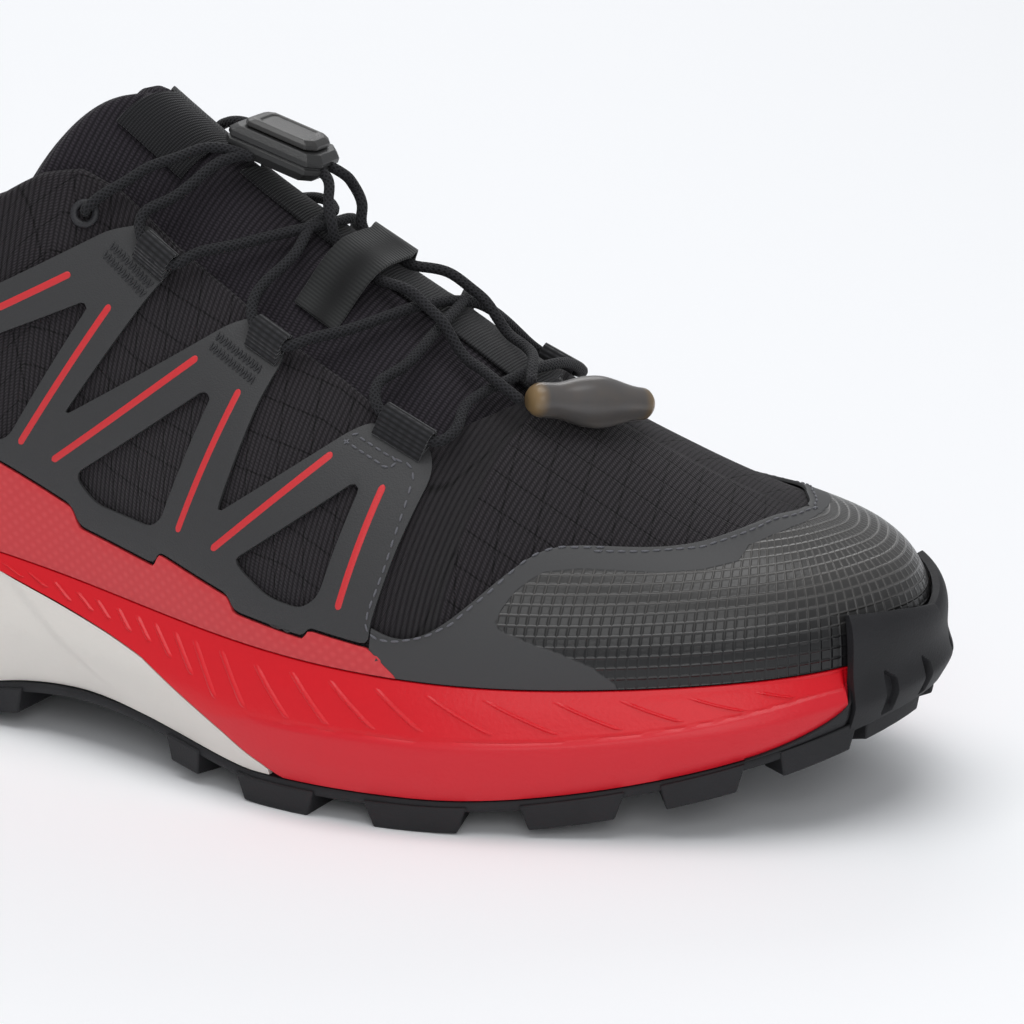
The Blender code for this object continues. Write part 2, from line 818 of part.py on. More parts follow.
def make_midsole(material):
    sections = [sole_section(t, rim_outline, FOOTBED_DISH, split_dish(t)) for t in SOLE_ROWS]
    made = loft("midsole", sections, material)
    points, faces = gather(make_ribs(-1) + make_ribs(1))
    return join_to(made, body("rib_guide", points, faces, material))


def make_core(material):
    rows = []
    for t in SOLE_ROWS:
        x = foot_line(t, -1)[0]
        if split_height(x) > foam_bottom(x) + 0.0016:
            rows.append(t)
    sections = [sole_section(t, core_outline, split_dish(t), 0.0) for t in rows]
    return loft("midsole_core", sections, material)


def make_insole(material):
    def outline(t, x):
        floor = footbed(x) + GAP
        return np.array([
            (-FOOTBED_INSET - 0.0016, floor + INSOLE),
            (-FOOTBED_INSET + 0.0004, floor + INSOLE),
            (-FOOTBED_INSET - 0.0004, floor),
        ])
    sections = [sole_section(t, outline, FOOTBED_DISH, FOOTBED_DISH) for t in SOLE_ROWS]
    return loft("insole", sections, material)


BUMPER_HEIGHT = 0.0110
BUMPER_TIP_SHARE = 0.66
PLATE_INSET = 0.0052


def plate_outline(t, x):
    edge = float(side_offset(t, 0.0)) + GAP
    top = foam_bottom(x) - GAP
    bottom = plate_bottom(x)
    return np.array([
        (-PLATE_INSET, top),
        (-0.002, top),
        (edge, top),
        (edge - 0.0004, bottom),
        (-PLATE_INSET, bottom),
    ])


def bumper_section(t, side):
    """Section of the toe bumper: out of the plate, up the foam's side and over the toe cap."""
    x, y, outward = foot_line(t, side)
    edge = edge_height(x)
    low = foam_bottom(x)
    start = float(side_offset(t, 0.0)) + GAP
    inner = [(start - 0.0015, low - GAP - 0.5 * PLATE), (start, low - GAP)]
    outer = [(start - 0.0015, plate_bottom(x) + GAP), (start + BUMPER - 0.0012, plate_bottom(x) + GAP)]
    for q in (0.22, 0.47):
        inner.append((float(side_offset(t, q)) + GAP, low + (edge - low) * q))
        outer.append((float(side_offset(t, q)) + GAP + BUMPER, low + (edge - low) * q))
    inner.append((0.0013 + 2 * GAP, edge + LIP_HEIGHT + GAP))
    outer.append((0.0013 + BUMPER, edge + LIP_HEIGHT + GAP))
    place = np.array([x, y])
    inner = [np.append(place + out * outward, z) for out, z in inner]
    outer = [np.append(place + out * outward, z) for out, z in outer]
    lift = FILM_GAP + FILM + 2 * GAP
    height = BUMPER_HEIGHT * (BUMPER_TIP_SHARE + (1 - BUMPER_TIP_SHARE) * t / BUMPER_END)
    for share, thickness in ((0.55, 0.90), (1.00, 0.60)):
        v = v_at(t, share * height, side)[0]
        inner.append(last(t, v, side, lift))
        outer.append(last(t, v, side, lift + thickness * BUMPER))
    return np.array(inner + outer[::-1])


def make_bumper(material):
    rows = [t for t in SOLE_ROWS if t <= BUMPER_END]
    sections = [bumper_section(t, -1) for t in rows[::-1]]
    sections += [bumper_section(t, 1) for t in rows[1:]]
    return loft("bumper_guide", sections, material)


def block(side, t_range, out_range, taper=0.0010):
    """An edge lug: follows the sole's edge between two t, from one offset to another."""
    t = np.linspace(*t_range, 2 if 0.15 < np.mean(t_range) < 0.85 else 3)
    rows = []
    for out, order in ((out_range[1], 1), (out_range[0], -1)):
        for one in t[::order]:
            x, y, outward = foot_line(one, side)
            rows.append(np.array([x, y]) + out * outward)
    plan = np.array(rows)
    middle = plan.mean(axis=0)
    foot = plan + (middle - plan) / np.linalg.norm(middle - plan, axis=1, keepdims=True) * taper
    top = plate_bottom(plan[:, 0]) + 0.0012
    return prism(plan, top, lowest_lift(foot[:, 0]), foot)


# Edge lugs: middle and length, as shares of the length
EDGE_LUGS = [
    (0.070, 0.045),
    (0.150, 0.055),
    (0.240, 0.055),
    (0.330, 0.050),
    (0.507, 0.030),
    (0.585, 0.062),
    (0.687, 0.070),
    (0.790, 0.068),
    (0.872, 0.052),
    (0.938, 0.040),
]

# Middle lugs: x share, half width and length as shares of BALL_WIDTH, and the point's length
MIDDLE_LUGS = [
    (0.127, 0.120, 0.130, 0.00),
    (0.215, 0.110, 0.080, 0.06),
    (0.290, 0.100, 0.080, 0.06),
    (0.535, 0.160, 0.085, 0.08),
    (0.615, 0.190, 0.085, 0.09),
    (0.695, 0.200, 0.085, 0.09),
    (0.775, 0.190, 0.085, 0.09),
    (0.850, 0.150, 0.085, 0.08),
    (0.920, 0.100, 0.080, 0.06),
]


def make_lugs():
    parts = []
    for side in (-1, 1):
        for middle, length in EDGE_LUGS:
            ends = [float(t_at(from_heel(middle + length * k), side)) for k in (0.5, -0.5)]
            out = float(side_offset(np.mean(ends), 0.0))
            parts.append(block(side, ends, (out - 0.0135, out + 0.0012)))
    for share, half, length, point in MIDDLE_LUGS:
        x = from_heel(share)
        sides = [foot_line(float(t_at(x, side)), side)[1] for side in (-1, 1)]
        y = (sides[0] + sides[1]) / 2 if share > 0.2 else 0.0
        half, length, point = half * BALL_WIDTH, length * BALL_WIDTH, point * BALL_WIDTH
        plan = np.array([
            (x + length / 2, y - half),
            (x + length / 2 + point, y),
            (x + length / 2, y + half),
            (x - length / 2, y + half),
            (x - length / 2 + point, y),
            (x - length / 2, y - half),
        ])
        top = plate_bottom(plan[:, 0]) + 0.0012
        parts.append(prism(plan, top, lowest_lift(plan[:, 0])))
    return parts


def make_outsole(material):
    sections = [sole_section(t, plate_outline, 0.0, 0.0) for t in SOLE_ROWS]
    made = loft("outsole", sections, material)
    points, faces = gather(make_lugs())
    join_to(made, body("lug_guide", points, faces, material))
    join_to(made, make_bumper(material))
    merge = made.modifiers.new("merge", "WELD")
    merge.merge_threshold = 2e-5
    return made


# The laces. A place is t, w and the lift over the last in millimetres; w is v on the lateral side
# and 2 - v beyond the top line.

LOOP_SPAN = 0.0088
LOOP_LENGTH = 0.0085
LOOP_BASE = FILM_GAP + FILM + GAP
PLY = 0.0008
LACE_SIDES = 5

LACE_FROM_LOCK = [
    (0.606, 0.84, 4.6), (0.609, 0.76, 3.2), (0.615, 0.68, 3.0), (0.622, 0.62, 3.6),
    (0.617, 0.585, 3.85), (0.593, 0.585, 3.85), (0.586, 0.63, 3.2), (0.578, 0.67, 2.4),
    (0.561, 0.76, 1.9), (0.549, 0.85, 1.9), (0.542, 0.95, 1.9), (0.540, 1.06, 1.9),
    (0.540, 1.20, 2.0), (0.543, 1.31, 2.9), (0.538, 1.38, 3.85), (0.515, 1.38, 3.85),
    (0.501, 1.40, 2.75), (0.477, 1.40, 2.65), (0.471, 1.33, 2.2), (0.468, 1.20, 2.0),
    (0.464, 1.05, 1.9), (0.459, 0.93, 1.9), (0.455, 0.80, 1.7), (0.457, 0.69, 2.2),
    (0.461, 0.625, 3.4), (0.454, 0.58, 3.85), (0.4375, 0.58, 3.85),
]
LACE_TO_LOCK = [
    (0.4365, 0.58, 3.85), (0.419, 0.58, 3.85), (0.413, 0.63, 3.2), (0.416, 0.70, 2.2),
    (0.411, 0.82, 1.8), (0.405, 0.95, 1.9), (0.401, 1.06, 1.9), (0.399, 1.20, 2.0),
    (0.400, 1.35, 3.0), (0.407, 1.42, 3.85), (0.433, 1.42, 3.85), (0.440, 1.36, 3.0),
    (0.446, 1.24, 2.0), (0.456, 1.10, 1.9), (0.468, 0.95, 1.9), (0.478, 0.82, 1.8),
    (0.494, 0.69, 2.2), (0.507, 0.62, 3.4), (0.513, 0.59, 3.85), (0.537, 0.59, 3.85),
    (0.544, 0.64, 3.2), (0.542, 0.72, 2.2), (0.541, 0.80, 1.9), (0.547, 0.90, 1.9),
    (0.550, 1.00, 1.9), (0.558, 1.13, 1.9), (0.574, 1.26, 2.2), (0.587, 1.36, 3.2),
    (0.594, 1.415, 3.85), (0.617, 1.415, 3.85), (0.623, 1.35, 3.2), (0.619, 1.24, 2.6),
    (0.611, 1.13, 4.4),
]
TOP_LACES = {
    "lace_top_lateral": [
        (0.651, 0.555, 2.4), (0.647, 0.59, 2.9), (0.639, 0.65, 2.8), (0.633, 0.71, 2.8), (0.624, 0.78, 3.4),
        (0.617, 0.845, 4.6),
    ],
    "lace_top_medial": [
        (0.651, 1.445, 2.4), (0.647, 1.41, 2.9), (0.641, 1.35, 2.6), (0.636, 1.27, 2.8), (0.629, 1.18, 3.4),
        (0.621, 1.12, 4.6),
    ],
}
PULLS = {
    "lace_pull_lateral": [
        (0.5530, 0.950, 8.4), (0.5498, 0.938, 7.6), (0.5450, 0.922, 6.3), (0.5380, 0.904, 4.9),
        (0.5340, 0.898, 3.2), (0.5290, 0.895, 1.75), (0.5130, 0.887, 1.65), (0.4970, 0.880, 1.70),
        (0.4910, 0.876, 2.8), (0.4790, 0.870, 4.7), (0.4670, 0.86, 4.8), (0.4550, 0.85, 4.7),
        (0.4450, 0.84, 3.4), (0.4330, 0.83, 2.2), (0.4230, 0.82, 3.2), (0.4130, 0.80, 4.8),
        (0.4030, 0.79, 5.4), (0.3935, 0.785, 5.4),
    ],
    "lace_pull_medial": [
        (0.5530, 1.030, 8.4), (0.5490, 1.042, 8.6), (0.5440, 1.052, 7.6), (0.5375, 1.048, 5.6),
        (0.5340, 1.040, 3.2), (0.5290, 1.030, 1.75), (0.5130, 1.02, 1.65), (0.4970, 1.02, 1.70),
        (0.4910, 1.02, 2.8), (0.4790, 1.03, 4.7), (0.4650, 1.03, 4.8), (0.4540, 1.02, 4.7),
        (0.4440, 1.01, 3.6), (0.4330, 1.00, 2.4), (0.4230, 0.98, 3.4), (0.4120, 0.95, 4.9),
        (0.4040, 0.90, 6.6), (0.3990, 0.86, 7.4), (0.3945, 0.83, 7.6),
    ],
}

# The loops: t and w of the middle, lift of the underside, length along the edge of the throat
LOOPS = {
    "lace_loop_lateral_1": (0.605, 0.585, LOOP_BASE, LOOP_LENGTH),
    "lace_loop_lateral_2": (0.525, 0.590, LOOP_BASE, LOOP_LENGTH),
    "lace_loop_lateral_3": (0.436, 0.580, LOOP_BASE, 1.4 * LOOP_LENGTH),
    "lace_loop_medial_1": (0.605, 1.415, LOOP_BASE, LOOP_LENGTH),
    "lace_loop_medial_2": (0.5265, 1.380, LOOP_BASE, LOOP_LENGTH),
    "lace_loop_medial_3": (0.489, 1.400, LOOP_BASE - 0.0012, LOOP_LENGTH),
    "lace_loop_medial_4": (0.420, 1.420, LOOP_BASE, LOOP_LENGTH),
}


def directions(t, w):
    """A place on the last: the point, then forward along it, across it, and outward."""
    point = over(t, w)
    forward = over(t - 0.004, w) - over(t + 0.004, w)
    forward /= np.linalg.norm(forward)
    across = over(t, w + 0.02) - over(t, w - 0.02)
    across -= forward * across.dot(forward)
    across /= np.linalg.norm(across)
    outward = np.cross(forward, across)
    return point, forward, across, outward * np.sign(outward.dot(over(t, w, 0.001) - point))


def ring_faces(count, rings, closed_ends=True):
    """Faces between rings of as many points, with a face over each end."""
    faces = []
    for r in range(rings - 1):
        for c in range(count):
            following = (c + 1) % count
            faces.append((r * count + c, r * count + following,
                          (r + 1) * count + following, (r + 1) * count + c))
    if closed_ends:
        faces.append(tuple(range(count)))
        faces.append(tuple(range((rings - 1) * count, rings * count)))
    return faces


def make_loop(name, place, material):
    """A flat loop of webbing, open along the edge of the throat for the lace."""
    t, w, base, length = place
    point, forward, across, outward = directions(t, w)
    half = LACE_RADIUS + GAP + PLY
    centre = point + outward * (base + half)
    rings = []
    for ply, along in ((0, 0.5), (PLY, 0.5), (PLY, -0.5), (0, -0.5)):
        wide = LOOP_SPAN / 2 - ply * 1.3
        for a, b in ((1, 0), (0.55, 1), (-0.55, 1), (-1, 0), (-0.55, -1), (0.55, -1)):
            rings.append(centre + forward * along * length + across * a * wide + outward * b * (half - ply))
    faces = ring_faces(6, 4, closed_ends=False)
    faces += [(18 + c, 18 + (c + 1) % 6, (c + 1) % 6, c) for c in range(6)]
    return body(name, rings, faces, material)


def tube(path, radius, sides):
    """Points and faces of a round cord along a path, closed at both ends."""
    path = np.asarray(path)
    runs = np.gradient(path, axis=0)
    runs /= np.linalg.norm(runs, axis=1, keepdims=True)
    aside = np.cross(runs[0], (0.0, 0.0, 1.0))
    rings = []
    for point, run in zip(path, runs):
        aside = aside - run * aside.dot(run)
        aside /= np.linalg.norm(aside)
        up = np.cross(run, aside)
        for k in range(sides):
            turn = 2 * math.pi * k / sides
            rings.append(point + radius * (aside * math.cos(turn) + up * math.sin(turn)))
    return np.array(rings), ring_faces(sides, len(path))


def route(places):
    """The points of a lace's route."""
    return np.array([over(t, w, lift / 1000) for t, w, lift in places])


def make_crossings(material):
    """The lace from the lock through all the loops and back, joined where it crosses itself."""
    points, faces = tube(route(LACE_FROM_LOCK), LACE_RADIUS, LACE_SIDES)
    made = body("lace_crossings", points, faces, material)
    points, faces = tube(route(LACE_TO_LOCK), LACE_RADIUS, LACE_SIDES)
    return join_to(made, body("lace_guide", points, faces, material))


def make_pull(name, places, material):
    """One of the two free cords between the lock and the puller."""
    path = route(places)
    run = np.concatenate([[0], np.cumsum(np.linalg.norm(np.diff(path, axis=0), axis=1))])
    count = round(run[-1] / (5 * LACE_RADIUS))
    smooth = spline(run, path, np.linspace(0, run[-1], count))
    curve = bpy.data.curves.new(name, "CURVE")
    curve.dimensions = "3D"
    curve.bevel_depth = LACE_RADIUS
    curve.bevel_resolution = 2
    curve.use_fill_caps = True
    line = curve.splines.new("POLY")
    line.points.add(count - 1)
    for point, place in zip(line.points, smooth):
        point.co = (*place, 1.0)
    curve.materials.append(material)
    made = bpy.data.objects.new(name, curve)
    bpy.context.scene.collection.objects.link(made)
    return made


EYELET_T = 0.652
EYELET_V = 0.545
EYELET_RADIUS = 0.0030
EYELET_HOLE = 0.0016
EYELET_HEIGHT = 0.0010


def make_eyelet(name, side, material):
    """The flat ring round the topmost lace hole."""
    w = EYELET_V if side < 0 else 2 - EYELET_V
    point, forward, across, outward = directions(EYELET_T, w)
    base = point + outward * GAP
    rings = []
    for radius, height in ((EYELET_RADIUS, 0), (EYELET_RADIUS, 1), (EYELET_HOLE, 1), (EYELET_HOLE, 0)):
        for k in range(8):
            turn = math.pi * k / 4
            ring = radius * (forward * math.cos(turn) + across * math.sin(turn))
            rings.append(base + ring + outward * height * EYELET_HEIGHT)
    faces = ring_faces(8, 4, closed_ends=False)
    faces += [(24 + c, 24 + (c + 1) % 8, (c + 1) % 8, c) for c in range(8)]
    return body(name, rings, faces, material)


LOCK_T = 0.588
LOCK_W = 0.985
LOCK_LIFT = 0.0042
LOCK_TILT = math.radians(16)
LOCK_ROLL = math.radians(8)
LOCK_LENGTH = 0.0225
LOCK_WIDTH = 0.0165
LOCK_HEIGHT = 0.0062
BUTTON_HEIGHT = 0.0018


def turned(first, second, angle):
    """Two directions at right angles, the first turned towards the second."""
    return (first * math.cos(angle) + second * math.sin(angle),
            second * math.cos(angle) - first * math.sin(angle))


def make_lock(body_material, button_material):
    """The lace lock's body and the button on it, tipped up in front and down on the inner side."""
    point, forward, across, outward = directions(LOCK_T, LOCK_W)
    forward, outward = turned(forward, outward, LOCK_TILT)
    across, outward = turned(across, outward, -LOCK_ROLL)
    base = point + outward * LOCK_LIFT
    half = LOCK_LENGTH / 2
    wide = LOCK_WIDTH / 2
    plan = [(half, 0.55), (half * 0.80, 1), (-half * 0.85, 1), (-half, 0.7),
            (-half, -0.7), (-half * 0.85, -1), (half * 0.80, -1), (half, -0.55)]
    rings = []
    for height, shrink in ((0, 0.86), (0.30, 1.0), (0.78, 1.0), (1.0, 0.88)):
        for a, b in plan:
            place = forward * a * shrink + across * b * wide * shrink
            rings.append(base + place + outward * LOCK_HEIGHT * height)
    body("lace_lock_body", rings, ring_faces(8, 4), body_material)
    base = base + outward * (LOCK_HEIGHT + GAP)
    rings = []
    for height, shrink in ((0, 0.76), (0.55, 0.76), (1.0, 0.64)):
        for a, b in plan:
            place = forward * a * shrink + across * b * wide * shrink
            rings.append(base + place + outward * BUTTON_HEIGHT * height)
    body("lace_lock_button", rings, ring_faces(8, 3), button_material)


PULLER_REAR = (0.388, 0.795, 6.2)
PULLER_FRONT = (0.333, 1.02, 6.2)
PULLER_SECTIONS = [
    (0.00, 0.0024), (0.07, 0.0036), (0.25, 0.0040), (0.48, 0.0056),
    (0.62, 0.0056), (0.85, 0.0038), (0.96, 0.0034), (1.00, 0.0022),
]


def make_puller(material):
    """The turned pull grip that holds both ends of the lace."""
    rear, front = route([PULLER_REAR, PULLER_FRONT])
    run = (front - rear) / np.linalg.norm(front - rear)
    aside = np.cross(run, (0.0, 0.0, 1.0))
    aside /= np.linalg.norm(aside)
    up = np.cross(aside, run)
    rings = []
    for share, radius in PULLER_SECTIONS:
        for k in range(8):
            turn = math.pi * (k + 0.5) / 4
            ring = radius * (aside * math.cos(turn) + up * math.sin(turn))
            rings.append(rear + (front - rear) * share + ring)
    return body("lace_puller", rings, ring_faces(8, len(PULLER_SECTIONS)), material)


STRIP_T = (0.395, 0.600)
STRIP_W = (0.905, 0.968, 1.032, 1.095)
STRIP_LIFT = -0.00035
LABEL_T = (0.620, 0.655)
LABEL_W = (0.76, 0.90, 1.0, 1.10, 1.24)
LABEL_LIFT = (-0.00150, -0.00045, -0.00045, -0.00045, -0.00150)
BAND_T = (0.499, 0.527)
BAND_W = (0.70, 0.77, 0.82, 0.855, 0.93, 1.00, 1.07, 1.110, 1.15, 1.20)
BAND_LIFT = (-0.0016, -0.0010, 0.0018, 0.0035, 0.0035, 0.0035, 0.0035, 0.0018, 0.0008, 0.0002)


def make_tongue_pieces(strip, elastic):
    tongue_patch("tongue_strip", STRIP_T, STRIP_W, STRIP_LIFT, 0.7 * PLY, strip, rows=11)
    tongue_patch("tongue_label", LABEL_T, LABEL_W, LABEL_LIFT, PLY, strip)
    tongue_patch("tongue_band", BAND_T, BAND_W, BAND_LIFT, PLY, elastic)


def main():
    for old in list(bpy.data.objects):
        bpy.data.objects.remove(old)
    knit = look("knit", "1c1b1d", 0.85)
    film = look("film", "3f3f41", 0.50)
    red_film = look("red_film", "cf3d40", 0.50)
    red_foam = look("red_foam", "dc1f2b", 0.45)
    white_foam = look("white_foam", "dedad5", 0.60)
    rubber = look("rubber", "262628", 0.70)
    padding = look("padding", "17171a", 0.90)
    webbing = look("webbing", "141416", 0.80)
    elastic = look("elastic", "2a2a2c", 0.80)
    cord = look("cord", "2b2b2e", 0.70)
    lock = look("lock", "39393b", 0.50)
    smoke = look("smoke", "6f6a66", 0.30)

    make_upper(knit)
    make_toe_cap(film)
    for word, side in (("lateral", -1), ("medial", 1)):
        make_rand("rand_" + word, side, red_film)
        make_frame("frame_" + word, side, film)
    make_heel_counter(film)
    make_collar_padding(padding)
    make_tongue(knit)
    make_midsole(red_foam)
    make_core(white_foam)
    make_insole(padding)
    make_outsole(rubber)
    make_tongue_pieces(webbing, elastic)
    for name, place in LOOPS.items():
        make_loop(name, place, webbing)
    make_eyelet("eyelet_lateral", -1, lock)
    make_eyelet("eyelet_medial", 1, lock)
    make_crossings(cord)
    for name, places in TOP_LACES.items():
        points, faces = tube(route(places), LACE_RADIUS, LACE_SIDES)
        body(name, points, faces, cord)
    for name, places in PULLS.items():
        make_pull(name, places, cord)
    make_lock(lock, film)
    make_puller(smoke)


main()
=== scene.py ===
# %% [markdown]
# # A trail running shoe, dressed for a photograph
#
# The solid model gives every piece its place and size. This lesson gives each piece the surface
# that shows: cloth, bonded film, foam, rubber and cord. A running shoe is built on a last, a form
# with the shape of a foot, so nearly every surface here is read from one function of the last.
# All lengths are in metres; +X points to the toe, +Y to the inner side and +Z up.

# %% The frame and the tools
import math

import bmesh
import bpy
import numpy as np
from mathutils import Matrix, Vector, geometry


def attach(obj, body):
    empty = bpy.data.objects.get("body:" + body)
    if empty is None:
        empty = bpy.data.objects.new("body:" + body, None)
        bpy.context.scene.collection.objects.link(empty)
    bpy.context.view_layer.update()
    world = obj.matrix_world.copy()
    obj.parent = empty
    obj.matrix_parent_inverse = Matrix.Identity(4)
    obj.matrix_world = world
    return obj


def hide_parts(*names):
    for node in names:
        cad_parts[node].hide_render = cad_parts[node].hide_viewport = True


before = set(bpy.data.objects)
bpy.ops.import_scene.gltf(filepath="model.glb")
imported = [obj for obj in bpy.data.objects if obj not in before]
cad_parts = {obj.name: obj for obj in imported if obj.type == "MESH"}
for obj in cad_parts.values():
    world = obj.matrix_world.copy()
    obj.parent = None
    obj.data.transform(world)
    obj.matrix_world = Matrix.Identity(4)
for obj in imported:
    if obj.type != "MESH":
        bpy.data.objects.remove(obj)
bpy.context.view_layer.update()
MM = 0.001

# %% [markdown]
# ## Camera
#
# The picture was taken from the outer side, a little ahead of the shoe and above it, with a long
# lens: straight lines hardly converge. The camera looks at a point over the ball of the foot.

# %% Camera
AZIMUTH, ELEVATION, ROLL = (math.radians(a) for a in (21.8, 18.4, 1.0))
DISTANCE = 1.0
TARGET = np.array([0.1664, 0.0, 0.0526])
LENS, SENSOR = 162.4, 36.0  # millimetres
NEAREST = 0.05


def camera_axes():
    """Right, up and back directions of a camera turned by azimuth, elevation and roll."""
    back = np.array([
        math.sin(AZIMUTH) * math.cos(ELEVATION),
        -math.cos(AZIMUTH) * math.cos(ELEVATION),
        math.sin(ELEVATION),
    ])
    level = np.array([math.cos(AZIMUTH), math.sin(AZIMUTH), 0.0])
    upright = np.cross(back, level)
    right = math.cos(ROLL) * level + math.sin(ROLL) * upright
    up = math.cos(ROLL) * upright - math.sin(ROLL) * level
    return right, up, back


def place_camera():
    """Stands a camera at its distance from the target and turns it to its axes."""
    right, up, back = camera_axes()
    data = bpy.data.cameras.new("camera")
    data.lens = LENS
    data.sensor_width = SENSOR
    data.sensor_fit = "HORIZONTAL"
    data.clip_start = NEAREST
    camera = bpy.data.objects.new("camera", data)
    bpy.context.scene.collection.objects.link(camera)
    turn = Matrix([[right[i], up[i], back[i]] for i in range(3)]).to_4x4()
    camera.matrix_world = Matrix.Translation(TARGET + DISTANCE * back) @ turn
    bpy.context.scene.camera = camera
    return camera


camera = place_camera()
print("the camera stands at", [round(c, 3) for c in camera.location])

# %% [markdown]
# ## The last
#
# One row of numbers describes each station from the toe tip to the heel: where the foot's edge
# lies on the sole, how upright the side stands and how flat the top is. A natural cubic spline
# runs through the rows. t goes from the toe tip (0) to the heel (1) along either side, and v from
# the sole's edge (0) up and over to the top line of the foot (1).

# %% Sizes of the last and the sole
LENGTH = 0.300
BALL_WIDTH = 0.108
INSTEP_HEIGHT = 0.080
BALL_HEIGHT = 0.031
HEEL_HEIGHT = 0.048
TOE_EDGE_RISE = 0.005
HEEL_REST = 0.038
TOE_SPRING = 0.023
ARCH_LIFT = 0.006
HEEL_BEVEL = 0.004
GAP = 0.0003
WALL = 0.0018
FILM = 0.0008
FILM_GAP = 0.00045
PLATE = 0.0022
LUG = 0.0048
SIDE_FLARE = 0.0060
TOE_FLARE = 0.0024
BUMPER = 0.0030
LACE_RADIUS = 0.0012
STEP = 0.004  # a small step of t or v, to read a direction

SECTIONS = np.array([
    # lateral x, y, rise, lean,   medial x, y, rise, lean,    ridge x
    (0.987, 0.046, 0.72, 0.62, 0.987, 0.046, 0.72, 0.62, 0.887),
    (0.975, -0.083, 0.72, 0.62, 0.977, 0.167, 0.72, 0.62, 0.883),
    (0.933, -0.227, 0.70, 0.62, 0.942, 0.287, 0.70, 0.62, 0.873),
    (0.862, -0.338, 0.64, 0.60, 0.875, 0.361, 0.64, 0.60, 0.850),
    (0.780, -0.426, 0.55, 0.60, 0.793, 0.398, 0.57, 0.58, 0.793),
    (0.697, -0.495, 0.52, 0.58, 0.710, 0.407, 0.57, 0.55, 0.717),
    (0.600, -0.509, 0.50, 0.54, 0.613, 0.380, 0.57, 0.50, 0.633),
    (0.500, -0.444, 0.50, 0.50, 0.517, 0.324, 0.58, 0.48, 0.543),
    (0.400, -0.361, 0.54, 0.48, 0.417, 0.287, 0.60, 0.48, 0.460),
    (0.300, -0.329, 0.62, 0.52, 0.313, 0.287, 0.64, 0.52, 0.377),
    (0.200, -0.333, 0.70, 0.60, 0.207, 0.296, 0.70, 0.60, 0.307),
    (0.113, -0.306, 0.75, 0.60, 0.117, 0.287, 0.75, 0.60, 0.253),
    (0.047, -0.194, 0.75, 0.60, 0.047, 0.185, 0.75, 0.60, 0.220),
    (0.020, 0.000, 0.75, 0.60, 0.020, 0.000, 0.75, 0.60, 0.207),
])
RIDGE = np.array([
    (0.200, 0.000, 1.550), (0.253, 0.000, 1.540), (0.307, 0.010, 1.460), (0.377, 0.020, 1.325),
    (0.460, 0.030, 1.130), (0.543, 0.037, 0.956), (0.633, 0.046, 0.785), (0.717, 0.046, 0.615),
    (0.793, 0.046, 0.490), (0.853, 0.046, 0.395), (0.893, 0.046, 0.345),
])
SOLE_EDGE = np.array([
    (0.00, 1.00, 0.0), (0.20, 0.76, 0.0), (0.40, 0.32, 0.0), (0.60, 0.09, 0.0),
    (0.77, 0.00, 0.0), (0.88, 0.00, 0.4), (0.98, 0.00, 1.0),
])
OPENING = np.array([
    (0.385, 1.00), (0.392, 0.88), (0.402, 0.76), (0.412, 0.67), (0.423, 0.60), (0.440, 0.58),
    (0.480, 0.60), (0.520, 0.60), (0.560, 0.61), (0.600, 0.61), (0.640, 0.62), (0.663, 0.60),
    (0.681, 0.54), (0.700, 0.45), (0.730, 0.34), (0.770, 0.265), (0.820, 0.225), (0.880, 0.230),
    (0.940, 0.265), (1.000, 0.295),
])


# %% Lines
def unit(vectors):
    """The same directions with a length of one."""
    return vectors / np.linalg.norm(vectors, axis=-1, keepdims=True)


def run_length(line):
    """Length of a line from its first point to each of its points."""
    return np.concatenate([[0], np.cumsum(np.linalg.norm(np.diff(line, axis=0), axis=1))])


def read_line(line, run, at):
    """Places on a line where a measure that grows along it has the wanted values."""
    return np.stack([np.interp(at, run, line[:, k]) for k in range(line.shape[1])], 1)


def lengths_over(grid, axis):
    """Length from the first row (axis 0) or first column (axis 1) of a grid to its points."""
    steps = np.diff(grid, axis=axis, prepend=np.take(grid, [0], axis))
    return np.cumsum(np.linalg.norm(steps, axis=-1), axis=axis)


# %% The last as a function
def spline(knots, values, at):
    """Natural cubic spline: each stretch is a cubic whose bend runs straight from knot to knot."""
    knots, values = np.asarray(knots, float), np.asarray(values, float)
    gaps = np.diff(knots)
    matrix, right = np.eye(len(knots)), np.zeros(values.shape)
    for i in range(1, len(knots) - 1):
        matrix[i, i - 1:i + 2] = gaps[i - 1], 2 * (gaps[i - 1] + gaps[i]), gaps[i]
        step = (values[i + 1] - values[i]) / gaps[i] - (values[i] - values[i - 1]) / gaps[i - 1]
        right[i] = 6 * step
    bend = np.linalg.solve(matrix, right)
    at = np.clip(at, knots[0], knots[-1])
    k = np.clip(np.searchsorted(knots, at) - 1, 0, len(gaps) - 1)
    d, h = at - knots[k], gaps[k]
    if values.ndim > 1:
        d, h = d[..., None], h[..., None]
    slope = (values[k + 1] - values[k]) / h - h * (2 * bend[k] + bend[k + 1]) / 6
    return values[k] + d * slope + d * d * bend[k] / 2 + d ** 3 * (bend[k + 1] - bend[k]) / (6 * h)


def from_heel(share):
    """x at a share of the length from the heel."""
    return share * LENGTH - HEEL_REST


def share_of_length(x):
    """Share of the length from the heel at x."""
    return (x + HEEL_REST) / LENGTH


def edge_height(x):
    """Height of the line where upper and sole meet."""
    heel, toe = np.moveaxis(spline(SOLE_EDGE[:, 0], SOLE_EDGE[:, 1:], share_of_length(x)), -1, 0)
    return BALL_HEIGHT + (HEEL_HEIGHT - BALL_HEIGHT) * heel + TOE_EDGE_RISE * toe


